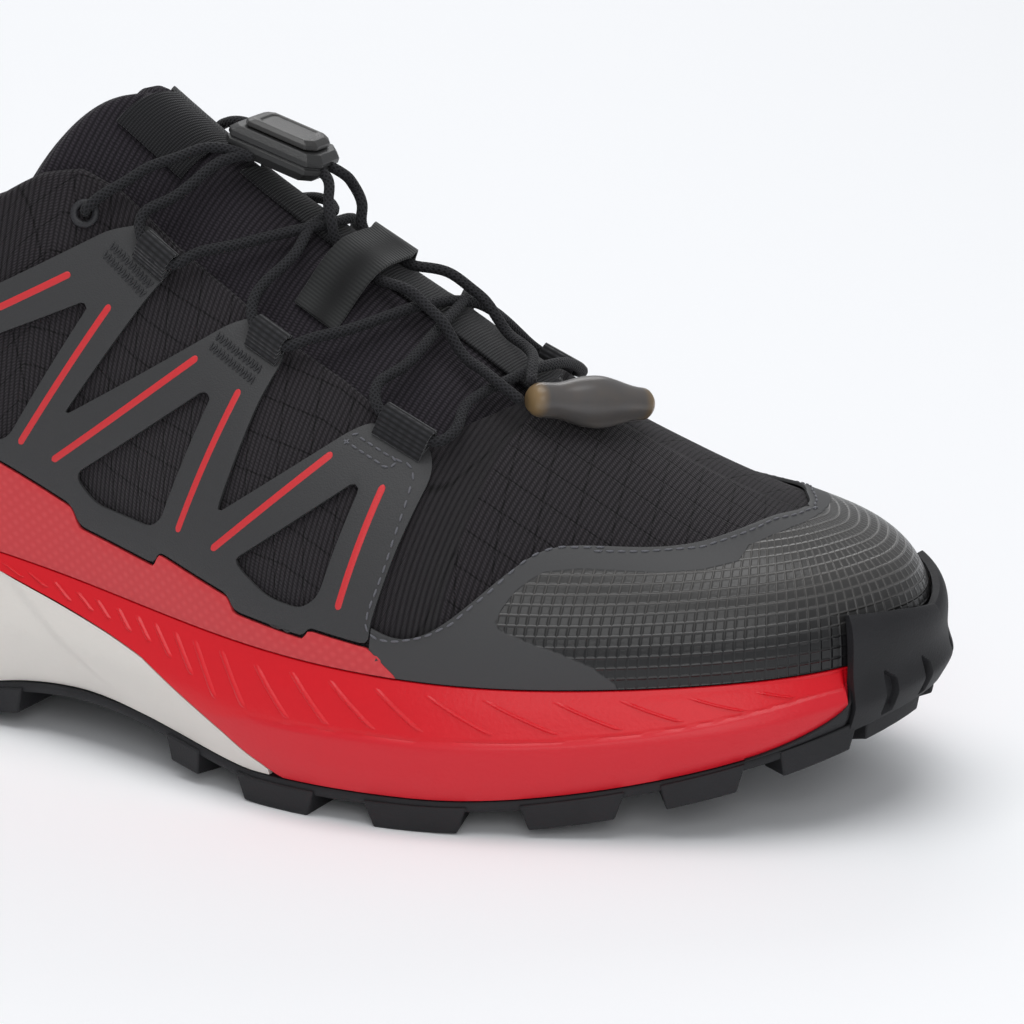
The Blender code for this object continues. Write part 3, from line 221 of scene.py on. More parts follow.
def ridge_point(share):
    """The top line of the foot, at a share of the length from the heel."""
    y, height = np.moveaxis(spline(RIDGE[:, 0], RIDGE[:, 1:], share), -1, 0)
    x = from_heel(share)
    return np.stack([x, y * BALL_WIDTH, edge_height(x) + height * INSTEP_HEIGHT], -1)


def section(t, side):
    """The row at t: foot x and y, rise, lean and ridge share; side is -1 lateral, 1 medial."""
    own = SECTIONS[:, :4] if side < 0 else SECTIONS[:, 4:8]
    other = SECTIONS[:, 4:8] if side < 0 else SECTIONS[:, :4]
    rows = np.concatenate([other[3:0:-1], own, other[-2:-5:-1]])
    tops = np.concatenate([SECTIONS[3:0:-1, 8], SECTIONS[:, 8], SECTIONS[-2:-5:-1, 8]])
    rows = np.column_stack([rows, tops])
    place = np.asarray(t) * (len(own) - 1)
    return np.moveaxis(spline(np.arange(len(rows)) - 3.0, rows, place), -1, 0)


def foot_line(t, side):
    """The foot's edge on the sole, with its outward direction in plan."""
    x, y = section(t, side)[:2]
    ahead = section(np.asarray(t) + STEP, side)[:2]
    behind = section(np.asarray(t) - STEP, side)[:2]
    along = np.stack([(ahead[0] - behind[0]) * LENGTH, (ahead[1] - behind[1]) * BALL_WIDTH], -1)
    along = unit(along)
    outward = np.stack([-along[..., 1], along[..., 0]], -1) * -side
    return from_heel(x), y * BALL_WIDTH, outward


def last_point(t, v, side):
    """A cubic curve from the sole's edge, up by the rise, in by the lean, to the top line."""
    x, y, rise, lean, top = section(t, side)
    foot_x = from_heel(x)
    foot = np.stack([foot_x, y * BALL_WIDTH, edge_height(foot_x)], -1)
    peak = ridge_point(top)
    run = ridge_point(top + 0.002) - ridge_point(top - 0.002)
    slope = run[..., 2] / run[..., 0] * np.clip((top - RIDGE[0, 0]) * 7.5, 0, 1)
    out = foot - peak
    out[..., 2] = out[..., 0] * slope
    up = np.zeros_like(foot)
    up[..., 2] = rise * (peak[..., 2] - foot[..., 2])
    v = np.asarray(v)[..., None]
    knee, brow = foot + up, peak + out * lean[..., None]
    lower = (1 - v) ** 3 * foot + 3 * v * (1 - v) ** 2 * knee
    return lower + 3 * v * v * (1 - v) * brow + v ** 3 * peak


def last(t, v, side, lift=0.0):
    """A point of the last, moved outward by the lift.

    The sections meet at the toe's tip, so the outward direction is read a little behind it.
    """
    t, v = np.broadcast_arrays(np.asarray(t, float), np.asarray(v, float))
    near = np.maximum(t, 0.05 * v ** 8)
    along = last_point(near + STEP, v, side) - last_point(near - STEP, v, side)
    across = last_point(near, v + STEP, side) - last_point(near, v - STEP, side)
    normal = unit(np.cross(along, across) * side)
    return last_point(t, v, side) + normal * np.asarray(lift)[..., None]


def over(t, w, lift=0.0):
    """The last counted right over the top: w is v on the lateral side and 2 - v beyond it."""
    t, w = np.broadcast_arrays(np.asarray(t, float), np.asarray(w, float))
    lift = np.broadcast_to(lift, t.shape)
    lateral = last(t, np.minimum(w, 1), -1, lift)
    medial = last(t, 2 - np.maximum(w, 1), 1, lift)
    return np.where((w <= 1)[..., None], lateral, medial)


def opening_edge(t):
    """v of the rim of the throat and the collar."""
    return np.interp(t, OPENING[:, 0], OPENING[:, 1])


def t_at(x, side):
    """t of the place on the foot's edge with this x."""
    t = np.linspace(0, 1, 800)
    return np.interp(-np.asarray(x), -foot_line(t, side)[0], t)


def locate(x, height, side):
    """t and v of the place with this x, this high over the sole's edge, by Newton's method."""
    x, height = np.asarray(x, float), np.asarray(height, float)

    def read(t, v):
        place = last_point(t, v, side)
        return np.stack([place[..., 0], place[..., 2] - last_point(t, 0 * v, side)[..., 2]], -1)

    t, v = t_at(x, side), np.clip(height / 0.09, 0.02, 0.9)
    tries, small = 14, 1e-3
    for _ in range(tries):
        here = read(t, v)
        by_t = (read(t + small, v) - here) / small
        by_v = (read(t, v + small) - here) / small
        miss = np.stack([x, height], -1) - here
        size = by_t[..., 0] * by_v[..., 1] - by_t[..., 1] * by_v[..., 0]
        step_t = (miss[..., 0] * by_v[..., 1] - miss[..., 1] * by_v[..., 0]) / size
        step_v = (by_t[..., 0] * miss[..., 1] - by_t[..., 1] * miss[..., 0]) / size
        t = np.clip(t + np.clip(step_t, -0.05, 0.05), 0, 1)
        v = np.clip(v + np.clip(step_v, -0.1, 0.1), -0.02, 1)
    return t, v


ball = last(0.4, [0.0, 0.5, 1.0], -1)
print("the last at the ball:", np.round(1000 * ball).tolist())

# %% [markdown]
# ## Making meshes and materials
#
# A surface worked out on a grid needs only its points, its quads and a UV map. The map here is
# in metres along and across the shoe, so a weave of 1.3 mm keeps that size everywhere. Materials
# are node trees; one function adds a node, sets its values and links its inputs.


# %% Mesh helpers
def quads(rows, columns, first=0, round_columns=False):
    """Four-sided faces of a grid stored row by row, as an array of indices."""
    r = np.arange(rows - 1)[:, None]
    c = np.arange(columns if round_columns else columns - 1)[None, :]
    following = (c + 1) % columns
    a, b = r * columns + c, r * columns + following
    return first + np.stack([a, b, b + columns, a + columns], -1).reshape(-1, 4)


def make_mesh(name, points, faces, material, uv=None, merge=0.0, sharp=40):
    """An object from arrays of points and faces, with a UV map in metres."""
    mesh = bpy.data.meshes.new(name)
    points = np.asarray(points, float).reshape(-1, 3)
    mesh.from_pydata(points.tolist(), [], [list(map(int, f)) for f in faces])
    if uv is not None:
        layer = mesh.uv_layers.new(name="UVMap")
        loops = np.zeros(len(mesh.loops), int)
        mesh.loops.foreach_get("vertex_index", loops)
        layer.data.foreach_set("uv", np.asarray(uv, float).reshape(-1, 2)[loops].ravel())
    shape = bmesh.new()
    shape.from_mesh(mesh)
    if merge:
        bmesh.ops.remove_doubles(shape, verts=shape.verts, dist=merge)
    bmesh.ops.recalc_face_normals(shape, faces=shape.faces)
    shape.to_mesh(mesh)
    shape.free()
    mesh.materials.append(material)
    mesh.shade_smooth()
    if sharp:
        mesh.set_sharp_from_angle(angle=math.radians(sharp))
    made = bpy.data.objects.new(name, mesh)
    bpy.context.scene.collection.objects.link(made)
    return made


def make_surface(name, grids, material, uvs=None, merge=0.0, sharp=0, round_columns=False):
    """One mesh from several grids of points, each stored row by row, with their UV maps."""
    starts = np.cumsum([0] + [grid[..., 0].size for grid in grids])
    faces = [quads(*grid.shape[:2], start, round_columns) for grid, start in zip(grids, starts)]
    points = np.concatenate([grid.reshape(-1, 3) for grid in grids])
    uv = None if uvs is None else np.concatenate([part.reshape(-1, 2) for part in uvs])
    return make_mesh(name, points, np.concatenate(faces), material, uv, merge, sharp)


def joined(bodies):
    """Points and faces of several bodies as one; each is given by its points and its faces."""
    points, faces, first = [], [], 0
    for some, more in bodies:
        faces += [np.asarray(face) + first for face in more]
        points.append(some)
        first += len(some)
    return np.concatenate(points), faces


def sleeve_faces(rows, columns, ends=(0, -1)):
    """Faces round closed sections, and one face over each section named as an end."""
    faces = [tuple(f) for f in quads(rows, columns, round_columns=True)]
    firsts = [end % rows * columns for end in ends]
    return faces + [tuple(range(first, first + columns)) for first in firsts]


def weld(piece, turn_outward=True):
    """Joins points that lie on one another, after marks and materials are on the mesh."""
    shape = bmesh.new()
    shape.from_mesh(piece.data)
    bmesh.ops.remove_doubles(shape, verts=shape.verts, dist=2e-6)
    if turn_outward:
        bmesh.ops.recalc_face_normals(shape, faces=shape.faces)
    shape.to_mesh(piece.data)
    shape.free()
    return piece


def mark(piece, name, values):
    """Writes one number a point onto the mesh, for its material to read."""
    layer = piece.data.attributes.new(name, "FLOAT", "POINT")
    layer.data.foreach_set("value", np.asarray(values).astype(np.float32).ravel())


def face_away(piece, centre):
    """Turns an open sheet's faces away from a point inside it."""
    mesh = piece.data
    normals = np.zeros(3 * len(mesh.polygons))
    middles = np.zeros(3 * len(mesh.polygons))
    mesh.polygons.foreach_get("normal", normals)
    mesh.polygons.foreach_get("center", middles)
    outward = (normals.reshape(-1, 3) * (middles.reshape(-1, 3) - np.asarray(centre))).sum()
    if outward < 0:
        mesh.flip_normals()
    return piece


def round_edges(piece, width, angle, segments=2):
    """Rounds each edge that bends by more than this angle in degrees."""
    edge = piece.modifiers.new("rounding", "BEVEL")
    edge.width = width
    edge.segments = segments
    edge.limit_method = "ANGLE"
    edge.angle_limit = math.radians(angle)
    return piece


def thicken(piece, thickness, rounding=0.0, even=True):
    """Gives an open sheet its thickness, on its outer side, and, if wanted, rounded rims."""
    wall = piece.modifiers.new("thickness", "SOLIDIFY")
    wall.thickness = thickness
    wall.offset = 1.0
    wall.use_even_offset = even
    if rounding:
        round_edges(piece, rounding, 55)
    return piece


def dress(piece, slot, *nodes):
    """Ties a piece to the shoe and hides the solids that it stands for; the slot is not used."""
    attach(piece, "root")
    if nodes:
        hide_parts(*nodes)
    return piece


INSIDE = (from_heel(0.5), 0.0, BALL_HEIGHT)


# %% Node helpers
def linear(colour):
    """sRGB hex to linear values."""
    levels = [int(colour[i:i + 2], 16) / 255 for i in (0, 2, 4)]
    return [c / 12.92 if c < 0.04 else ((c + 0.055) / 1.055) ** 2.4 for c in levels] + [1.0]


def add(tree, kind, links=None, **settings):
    """Adds a node, sets its properties or inputs, and links inputs given by name or number."""
    made = tree.nodes.new("ShaderNode" + kind)
    for name, value in settings.items():
        if hasattr(made, name):
            setattr(made, name, value)
        else:
            made.inputs[name.replace("_", " ")].default_value = value
    for name, source in (links or {}).items():
        if isinstance(source, (int, float)):
            made.inputs[name].default_value = source
        else:
            tree.links.new(source, made.inputs[name])
    return made


def shader(name, colour, roughness, sheen=0.0, specular=0.5):
    """A material with its tree and shader, ready for patterns."""
    material = bpy.data.materials.new(name)
    material.use_nodes = True
    tree = material.node_tree
    surface = tree.nodes["Principled BSDF"]
    surface.inputs["Base Color"].default_value = linear(colour)
    surface.inputs["Roughness"].default_value = roughness
    surface.inputs["Sheen Weight"].default_value = sheen
    surface.inputs["Specular IOR Level"].default_value = specular
    return material, tree, surface


def math_node(tree, operation, *values, clamp=False):
    """One step of arithmetic on sockets or numbers."""
    made = add(tree, "Math", links=dict(enumerate(values)), operation=operation)
    made.use_clamp = clamp
    return made.outputs[0]


def uv_in_mm(tree):
    """The UV map's two coordinates in millimetres."""
    uv = add(tree, "UVMap", uv_map="UVMap")
    apart = add(tree, "SeparateXYZ", links={0: uv.outputs[0]})
    return [math_node(tree, "MULTIPLY", apart.outputs[i], 1000.0) for i in (0, 1)]


def wave(tree, value, pitch, phase=0.0):
    """A cosine wave of this pitch, from 0 to 1."""
    turn = math_node(tree, "MULTIPLY_ADD", value, 2 * math.pi / pitch, phase)
    return math_node(tree, "MULTIPLY_ADD", math_node(tree, "COSINE", turn), 0.5, 0.5)


def blend_colours(tree, factor, first, second):
    """A mix of two colours, each a hex value or a socket."""
    mix = add(tree, "Mix", data_type="RGBA")
    tree.links.new(factor, mix.inputs[0])
    for socket, colour in ((mix.inputs[6], first), (mix.inputs[7], second)):
        if isinstance(colour, str):
            socket.default_value = linear(colour)
        else:
            tree.links.new(colour, socket)
    return mix.outputs[2]


def paint(tree, surface, factor, first, second):
    """Gives a surface the mix of two colours."""
    tree.links.new(blend_colours(tree, factor, first, second), surface.inputs["Base Color"])


def bump(tree, surface, height, depth):
    """Relief of this depth in metres from a height of 0 to 1."""
    made = add(tree, "Bump", links={"Height": height}, Strength=1.0, Distance=depth)
    tree.links.new(made.outputs[0], surface.inputs["Normal"])


def grain(tree, scale, detail=2.0):
    """Fine noise on object coordinates; the scale is in cycles a metre."""
    place = add(tree, "TexCoord")
    noise = add(tree, "TexNoise", links={0: place.outputs["Object"]}, Scale=scale, Detail=detail)
    return noise.outputs["Fac"]

# %% [markdown]
# ## Cords
#
# The lace is one thin braided cord, drawn tight by a lock instead of a bow. It goes from the lock
# through every loop and back; two more runs leave the lock forward, pass under the elastic band
# and end in the pull grip. Braid shows as small slanted plaits, so the tube carries a UV map of
# length and girth for the pattern, and its own surface stays a plain round sweep.


# %% Tubes along a path
def route(places):
    """Points of a lace's route from t, w and the lift over the last in millimetres."""
    places = np.array(places)
    return over(places[:, 0], places[:, 1], places[:, 2] * MM)


def even_path(path, spacing):
    """A smooth curve through the points, with a new point at every spacing of its length."""
    run = run_length(path)
    fine = spline(run, path, np.linspace(0, run[-1], 12 * len(path)))
    run = run_length(fine)
    at = np.linspace(0, run[-1], max(3, round(run[-1] / spacing) + 1))
    return read_line(fine, run, at), run[-1]


def tube_grid(path, radius, sides=12):
    """Rings about a path: two directions across it are carried along and turned into a circle.

    Gives points of shape (rings, sides + 1, 3), the seam doubled, and a UV map of length and girth.
    """
    runs = unit(np.gradient(path, axis=0))
    aside = np.zeros_like(path)
    aside[0] = unit(np.cross(runs[0], (0.0, 0.0, 1.0)))
    for k in range(1, len(path)):
        aside[k] = unit(aside[k - 1] - runs[k] * aside[k - 1].dot(runs[k]))
    up = np.cross(runs, aside)
    turn = np.linspace(0, 2 * math.pi, sides + 1)[None, :, None]
    radius = np.broadcast_to(radius, len(path))[:, None, None]
    points = path[:, None] + radius * (aside[:, None] * np.cos(turn) + up[:, None] * np.sin(turn))
    girth = turn[0, :, 0] * float(radius.max())
    uv = np.stack(np.broadcast_arrays(run_length(path)[:, None], girth[None, :]), -1)
    return points, uv


def rounded_ends(path, radius):
    """Adds three short steps at either end, with a radius that shrinks to nothing."""
    steps, shrink = np.array([0.95, 0.7, 0.3]) * radius, np.array([0.05, 0.6, 0.92])
    start = path[0] + unit(path[0] - path[1]) * steps[:, None]
    end = path[-1] + unit(path[-1] - path[-2]) * steps[::-1, None]
    radii = radius * np.concatenate([shrink, np.ones(len(path)), shrink[::-1]])
    return np.concatenate([start, path, end]), radii


def make_tube(name, paths, radius, material, sides=12):
    """One mesh of round cords along several paths."""
    grids, uvs = zip(*[tube_grid(*rounded_ends(path, radius), sides) for path in paths])
    return make_surface(name, grids, material, uvs, merge=1e-6)


# %% Braided cord
def braid_material():
    """Near-black polyester braid: slanted plaits 1.25 mm apart in two directions, hardly shiny."""
    material, tree, surface = shader("braided lace", "161618", 0.70, sheen=0.05, specular=0.2)
    along, round_it = uv_in_mm(tree)
    slant = math_node(tree, "MULTIPLY", round_it, 1.1)
    right, left = (wave(tree, math_node(tree, sign, along, slant), 1.25) for sign in ("ADD", "SUBTRACT"))
    plait = math_node(tree, "MAXIMUM", right, left)
    rough = math_node(tree, "MULTIPLY_ADD", grain(tree, 5000.0), 0.3, plait)
    paint(tree, surface, plait, "09090a", "28282b")
    bump(tree, surface, rough, 0.00022)
    return material


# A route is a list of t, w and the lift over the last in millimetres.
PULLS = {
    "lace_pull_lateral": [
        (0.5640, 0.964, 9.9), (0.5580, 0.960, 9.7), (0.5530, 0.950, 8.6), (0.5498, 0.938, 7.6),
        (0.5450, 0.922, 6.3), (0.5380, 0.904, 4.9),
        (0.5340, 0.898, 3.2), (0.5290, 0.895, 1.75), (0.5130, 0.887, 1.65), (0.4970, 0.880, 1.70),
        (0.4910, 0.876, 2.8), (0.4790, 0.870, 4.7), (0.4670, 0.86, 4.8), (0.4550, 0.85, 4.7),
        (0.4450, 0.84, 3.4), (0.4330, 0.83, 2.2), (0.4230, 0.82, 3.2), (0.4130, 0.80, 4.8),
        (0.4030, 0.79, 5.4), (0.3935, 0.785, 5.4),
    ],
    "lace_pull_medial": [
        (0.5640, 1.008, 10.0), (0.5580, 1.018, 9.9), (0.5530, 1.030, 9.5), (0.5490, 1.042, 8.7),
        (0.5440, 1.052, 7.6), (0.5375, 1.048, 5.6),
        (0.5340, 1.040, 3.2), (0.5290, 1.030, 1.75), (0.5130, 1.02, 1.65), (0.4970, 1.02, 1.70),
        (0.4910, 1.02, 2.8), (0.4790, 1.03, 4.7), (0.4650, 1.03, 4.8), (0.4540, 1.02, 4.7),
        (0.4440, 1.01, 3.6), (0.4330, 1.00, 2.4), (0.4230, 0.98, 3.4), (0.4120, 0.95, 4.9),
        (0.4040, 0.90, 6.6), (0.3990, 0.86, 7.4), (0.3945, 0.83, 7.6),
    ],
}
LACE_FROM_LOCK = [
    (0.606, 0.84, 4.6), (0.609, 0.76, 3.2), (0.615, 0.68, 3.0), (0.622, 0.62, 3.6),
    (0.617, 0.585, 3.85), (0.593, 0.585, 3.85), (0.586, 0.63, 3.2), (0.578, 0.67, 2.4),
    (0.561, 0.76, 1.9), (0.549, 0.85, 1.9), (0.542, 0.95, 1.9), (0.540, 1.06, 1.9),
    (0.540, 1.20, 2.0), (0.543, 1.31, 2.9), (0.538, 1.38, 3.85), (0.515, 1.38, 3.85),
    (0.501, 1.40, 2.75), (0.477, 1.40, 2.65), (0.471, 1.33, 2.2), (0.468, 1.20, 2.0),
    (0.464, 1.05, 1.9), (0.459, 0.93, 1.9), (0.455, 0.80, 1.7), (0.457, 0.69, 2.2),
    (0.461, 0.625, 3.4), (0.454, 0.58, 3.85), (0.4375, 0.58, 3.85),
]
LACE_TO_LOCK = [
    (0.4365, 0.58, 3.85), (0.419, 0.58, 3.85), (0.413, 0.63, 3.2), (0.416, 0.70, 2.2),
    (0.411, 0.82, 1.8), (0.405, 0.95, 1.9), (0.401, 1.06, 1.9), (0.399, 1.20, 2.0),
    (0.400, 1.35, 3.0), (0.407, 1.42, 3.85), (0.433, 1.42, 3.85), (0.440, 1.36, 3.0),
    (0.446, 1.24, 2.0), (0.456, 1.10, 1.9), (0.468, 0.95, 1.9), (0.478, 0.82, 1.8),
    (0.494, 0.69, 2.2), (0.507, 0.62, 3.4), (0.513, 0.59, 3.85), (0.537, 0.59, 3.85),
    (0.544, 0.64, 3.2), (0.542, 0.72, 2.2), (0.541, 0.80, 1.9), (0.547, 0.90, 1.9),
    (0.550, 1.00, 1.9), (0.558, 1.13, 1.9), (0.574, 1.26, 2.2), (0.587, 1.36, 3.2),
    (0.594, 1.415, 3.85), (0.617, 1.415, 3.85), (0.623, 1.35, 3.2), (0.619, 1.24, 2.6),
    (0.611, 1.13, 4.4),
]
TOP_LACES = [
    [(0.651, 0.555, 2.4), (0.647, 0.59, 2.9), (0.639, 0.65, 2.8), (0.633, 0.71, 2.8),
     (0.624, 0.78, 3.4), (0.617, 0.845, 4.6)],
    [(0.651, 1.445, 2.4), (0.647, 1.41, 2.9), (0.641, 1.35, 2.6), (0.636, 1.27, 2.8),
     (0.629, 1.18, 3.4), (0.621, 1.12, 4.6)],
]

braid = braid_material()

# %% The two free cords
# Each starts a little inside the lock, so that its end is out of sight.
pull_paths = {name: even_path(route(places), 0.0007) for name, places in PULLS.items()}
pulls = {}
for name, (path, length) in pull_paths.items():
    pulls[name] = make_tube(name.replace("pull", "free_cord"), [path], LACE_RADIUS, braid)
    dress(pulls[name], "cord", name)
    print(name, "is", round(1000 * length), "mm long")

# %% The lace through the loops
# The ends at the lock run on into its body, and the ends at the top eyelets dip into the holes.
runs = [
    [(0.600, 0.90, 6.0)] + LACE_FROM_LOCK,
    LACE_TO_LOCK + [(0.601, 1.06, 6.0)],
    [(0.652, 0.547, -1.0), (0.652, 0.549, 0.4)] + TOP_LACES[0] + [(0.598, 0.90, 6.0)],
    [(0.652, 1.453, -1.0), (0.652, 1.451, 0.4)] + TOP_LACES[1] + [(0.600, 1.06, 6.0)],
]
lace_paths = [even_path(route(run), 0.0010)[0] for run in runs]
lace = make_tube("lace", lace_paths, LACE_RADIUS, braid, sides=10)
dress(lace, "cord", "lace_crossings", "lace_top_lateral", "lace_top_medial")

# %% [markdown]
# ## Light and floor
#
# A product photograph is lit by large soft boxes: one above and to the front, weaker ones at the
# sides, and a white sweep under the shoe that fills the shadows from below.


# %% Floor and lamps
LAMPS = {  # place, aim, size and power
    "ceiling": ((0.10, -0.15, 1.5), (0.12, 0, 0), (1.3, 1.1), 12.0),
    "front": ((0.75, -1.25, 0.75), (0.12, 0, 0.04), (0.8, 0.8), 4.0),
    "rear": ((-0.4, 1.2, 0.9), (0.1, 0, 0.05), (0.9, 0.6), 4.0),
}
SKY_STRENGTH = 0.44
FLOOR_REACH = 6.0


def add_lamp(name, place, aim, size, power):
    """A white rectangular soft box at a place, turned to its aim."""
    data = bpy.data.lights.new(name, "AREA")
    data.shape = "RECTANGLE"
    data.size, data.size_y = size
    data.energy = power
    lamp = bpy.data.objects.new(name, data)
    bpy.context.scene.collection.objects.link(lamp)
    lamp.location = place
    lamp.rotation_euler = (Vector(aim) - Vector(place)).to_track_quat("-Z", "Y").to_euler()


def light_scene():
    """Plain colours, a pale sky and the lamps."""
    scene = bpy.context.scene
    scene.view_settings.view_transform = "Standard"
    scene.view_settings.look = "None"
    scene.view_settings.exposure = 0.0
    world = bpy.data.worlds.new("studio")
    scene.world = world
    world.use_nodes = True
    background = world.node_tree.nodes["Background"]
    background.inputs["Color"].default_value = linear("f8fafd")
    background.inputs["Strength"].default_value = SKY_STRENGTH
    for name, lamp in LAMPS.items():
        add_lamp(name, *lamp)


def floor_material():
    """Seamless white paper: bright, so that it meets the background without a line."""
    return shader("white paper sweep", "fbfcfe", 1.0, specular=0.0)[0]


light_scene()
corners = FLOOR_REACH * np.array([(-1, -1, 0), (1, -1, 0), (1, 1, 0), (-1, 1, 0)])
floor = make_mesh("floor", corners, [(0, 1, 2, 3)], floor_material())

# %% [markdown]
# ## Upper
#
# The upper is one knitted shell: outer skin, a soft roll round the collar and the throat, and a
# lining back down inside. A single grid per side does this. Its first half climbs the last from
# the sole to the opening, the middle turns over the rim on a small circle, and the last part
# goes down again on the inner face. Fine ribs of the knit run across the foot; two families of
# dark lines, 8 and 9 mm apart, are the stronger ripstop yarns.


# %% Knit
# Two families of lines: how each counts the places across and along the foot, and its pitch.
RIPSTOP = (0.50, 1.0, 8.0), (1.0, -0.30, 9.0)


def knit_material(name, ground, yarn, rib_pitch, stitch_pitch, lines=True):
    """Polyester knit: rounded ribs, each a chain of tiny stitches, with darker ripstop lines."""
    material, tree, surface = shader(name, yarn, 0.86, sheen=0.08, specular=0.15)
    surface.inputs["Sheen Roughness"].default_value = 0.5
    across, along = uv_in_mm(tree)
    rib = wave(tree, across, rib_pitch)
    half = math_node(tree, "MULTIPLY", across, math.pi / rib_pitch)
    shift = math_node(tree, "MULTIPLY", math_node(tree, "COSINE", half), 0.25 * stitch_pitch)
    stitch = wave(tree, math_node(tree, "ADD", along, shift), stitch_pitch)
    round_rib = math_node(tree, "POWER", rib, 0.7)
    loop = math_node(tree, "MULTIPLY", round_rib, math_node(tree, "MULTIPLY_ADD", stitch, 0.6, 0.4))
    fuzz = grain(tree, 2600.0, 3.0)
    relief = math_node(tree, "MULTIPLY_ADD", fuzz, 0.35, loop)
    if lines:
        for a, b, pitch in RIPSTOP:
            place = math_node(tree, "MULTIPLY_ADD", across, a, math_node(tree, "MULTIPLY", along, b))
            line = math_node(tree, "POWER", wave(tree, place, pitch), 160.0)
            relief = math_node(tree, "MULTIPLY_ADD", line, -0.45, relief)
    tone = math_node(tree, "MULTIPLY_ADD", relief, 0.75, 0.05, clamp=True)
    paint(tree, surface, tone, ground, yarn)
    bump(tree, surface, relief, 0.00030)
    return material


def lining_material(name):
    """Soft black brushed cloth with a fine grid of pores 1.1 mm apart."""
    material, tree, surface = shader(name, "141417", 0.92, sheen=0.35)
    across, along = uv_in_mm(tree)
    mesh = math_node(tree, "MULTIPLY", wave(tree, across, 1.1), wave(tree, along, 1.1))
    soft = math_node(tree, "MULTIPLY_ADD", grain(tree, 1500.0, 4.0), 0.6, mesh)
    paint(tree, surface, soft, "0f0f12", "242429")
    bump(tree, surface, soft, 0.00025)
    return material


# %% Upper shell
def roll_thickness(t):
    """Thickness of shell and padding together at the opening: thin at the throat's front."""
    return np.interp(t, (0.38, 0.45, 0.66, 0.74, 1.0), (0.0022, 0.0034, 0.0040, 0.0066, 0.0070))


def shell_profile(t, side, climb=64, turn=12, fall=30):
    """Points over one side at each t: up the outside, round the rim and down the inside."""
    t = np.asarray(t)[:, None]
    top = opening_edge(t)
    closed = t < OPENING[0, 0]
    share = np.linspace(0, 1, climb)[None, :] ** 0.9
    outside = last(t + 0 * share, top * share, side, 0 * share)
    thick = np.where(closed, WALL, roll_thickness(t))
    share = np.linspace(1, 0, fall)[None, :]
    padded = thick * np.clip((top * share - (top - 0.16)) / 0.10, 0, 1) ** 0.7
    inner = np.maximum(WALL, padded)
    inside = last(t + 0 * share, top * share, side, -inner)
    angle = np.linspace(0, math.pi, turn + 2)[None, 1:-1]
    middle = last(t + 0 * angle, top + 0 * angle, side, -thick / 2 + 0 * angle)
    out = unit(last(t, top, side, 0 * t) - last(t, top, side, -thick))
    rise = last(t, top, side, -thick / 2) - last(t, top - 0.01, side, -thick / 2)
    rise = unit(rise - out * (rise * out).sum(-1, keepdims=True))
    rise = np.where(closed[..., None], 0.0, rise)
    half = (thick / 2)[..., None]
    rim = middle + half * (out * np.cos(angle)[..., None] + rise * 0.8 * np.sin(angle)[..., None])
    return outside, rim, inside


def girth_uv(points, curve=2.6):
    """A map for cloth: a bent X, so that lines across the foot bow forward, and the girth."""
    steps = np.linalg.norm(np.diff(points, axis=1), axis=-1)
    girth = np.concatenate([np.zeros((len(points), 1)), np.cumsum(steps, axis=1)], axis=1)
    girth = girth[:, -1:] - girth
    bent = points[..., 0] + curve * points[..., 1] ** 2
    return np.stack([bent, girth], -1)


def make_shell(knit, lining):
    """Both sides as one closed shell, lined from the middle of its rim inwards."""
    t = np.unique(np.concatenate([np.linspace(0, 1, 230), np.linspace(0.36, 0.44, 40)]))
    grids, uvs, kinds = [], [], []
    for side in (-1, 1):
        outside, rim, inside = shell_profile(t, side)
        grid = np.concatenate([outside, rim, inside], axis=1)
        uv = girth_uv(grid)
        uv[..., 1] += side * 0.0001
        rows, columns = grid.shape[:2]
        lined = np.arange(columns - 1) > outside.shape[1] + rim.shape[1] // 2
        kinds.append(np.tile(lined, rows - 1))
        grids.append(grid)
        uvs.append(uv)
    piece = make_surface("knit_upper", grids, knit, uvs)
    piece.data.materials.append(lining)
    piece.data.polygons.foreach_set("material_index", np.concatenate(kinds).astype(int))
    return weld(piece)


knit = knit_material("ribbed vamp knit", "0b0a0b", "3b373b", 1.15, 0.75)
lining = lining_material("collar lining")
shell = make_shell(knit, lining)
dress(shell, "knit", "upper", "collar_padding")
print("knit shell:", len(shell.data.polygons), "faces")

# %% [markdown]
# ## Bonded films
#
# Thin urethane film is cut to shape and pressed onto the knit: dark grey arms from the lace loops
# down to the sole with windows between them, a red band along the sole, a cap over the toes and a
# counter round the heel. Each film is drawn flat, in millimetres along the shoe and up from the
# sole's edge. Its corners are rounded, the inside is filled with even triangles, and every point
# is carried onto the last.

# %% Outlines
CAP_EDGE = np.array([
    (0.00, 0.930), (0.05, 0.930), (0.10, 0.900), (0.146, 0.860), (0.174, 0.816), (0.213, 0.690),
    (0.237, 0.605), (0.270, 0.535), (0.302, 0.498), (0.325, 0.465), (0.334, 0.441), (0.350, 0.360),
    (0.368, 0.250), (0.389, 0.150), (0.409, 0.114), (0.4225, 0.125),
])
RAND_EDGE = [
    (0.150, 0.230), (0.200, 0.250), (0.327, 0.263), (0.393, 0.203), (0.400, 0.156), (0.470, 0.129),
    (0.474, 0.166), (0.537, 0.119), (0.543, 0.083), (0.601, 0.068), (0.605, 0.094), (0.650, 0.080),
]
FRAME_TOP = [
    (0.650, 0.140), (0.660, 0.327), (0.670, 0.490), (0.663, 0.545), (0.620, 0.590),
    (0.607, 0.565), (0.520, 0.315), (0.537, 0.600), (0.547, 0.710), (0.517, 0.780),
    (0.500, 0.755), (0.380, 0.435), (0.433, 0.769), (0.453, 0.880), (0.423, 0.950),
    (0.397, 0.920), (0.320, 0.730), (0.233, 0.510), (0.150, 0.380),
]
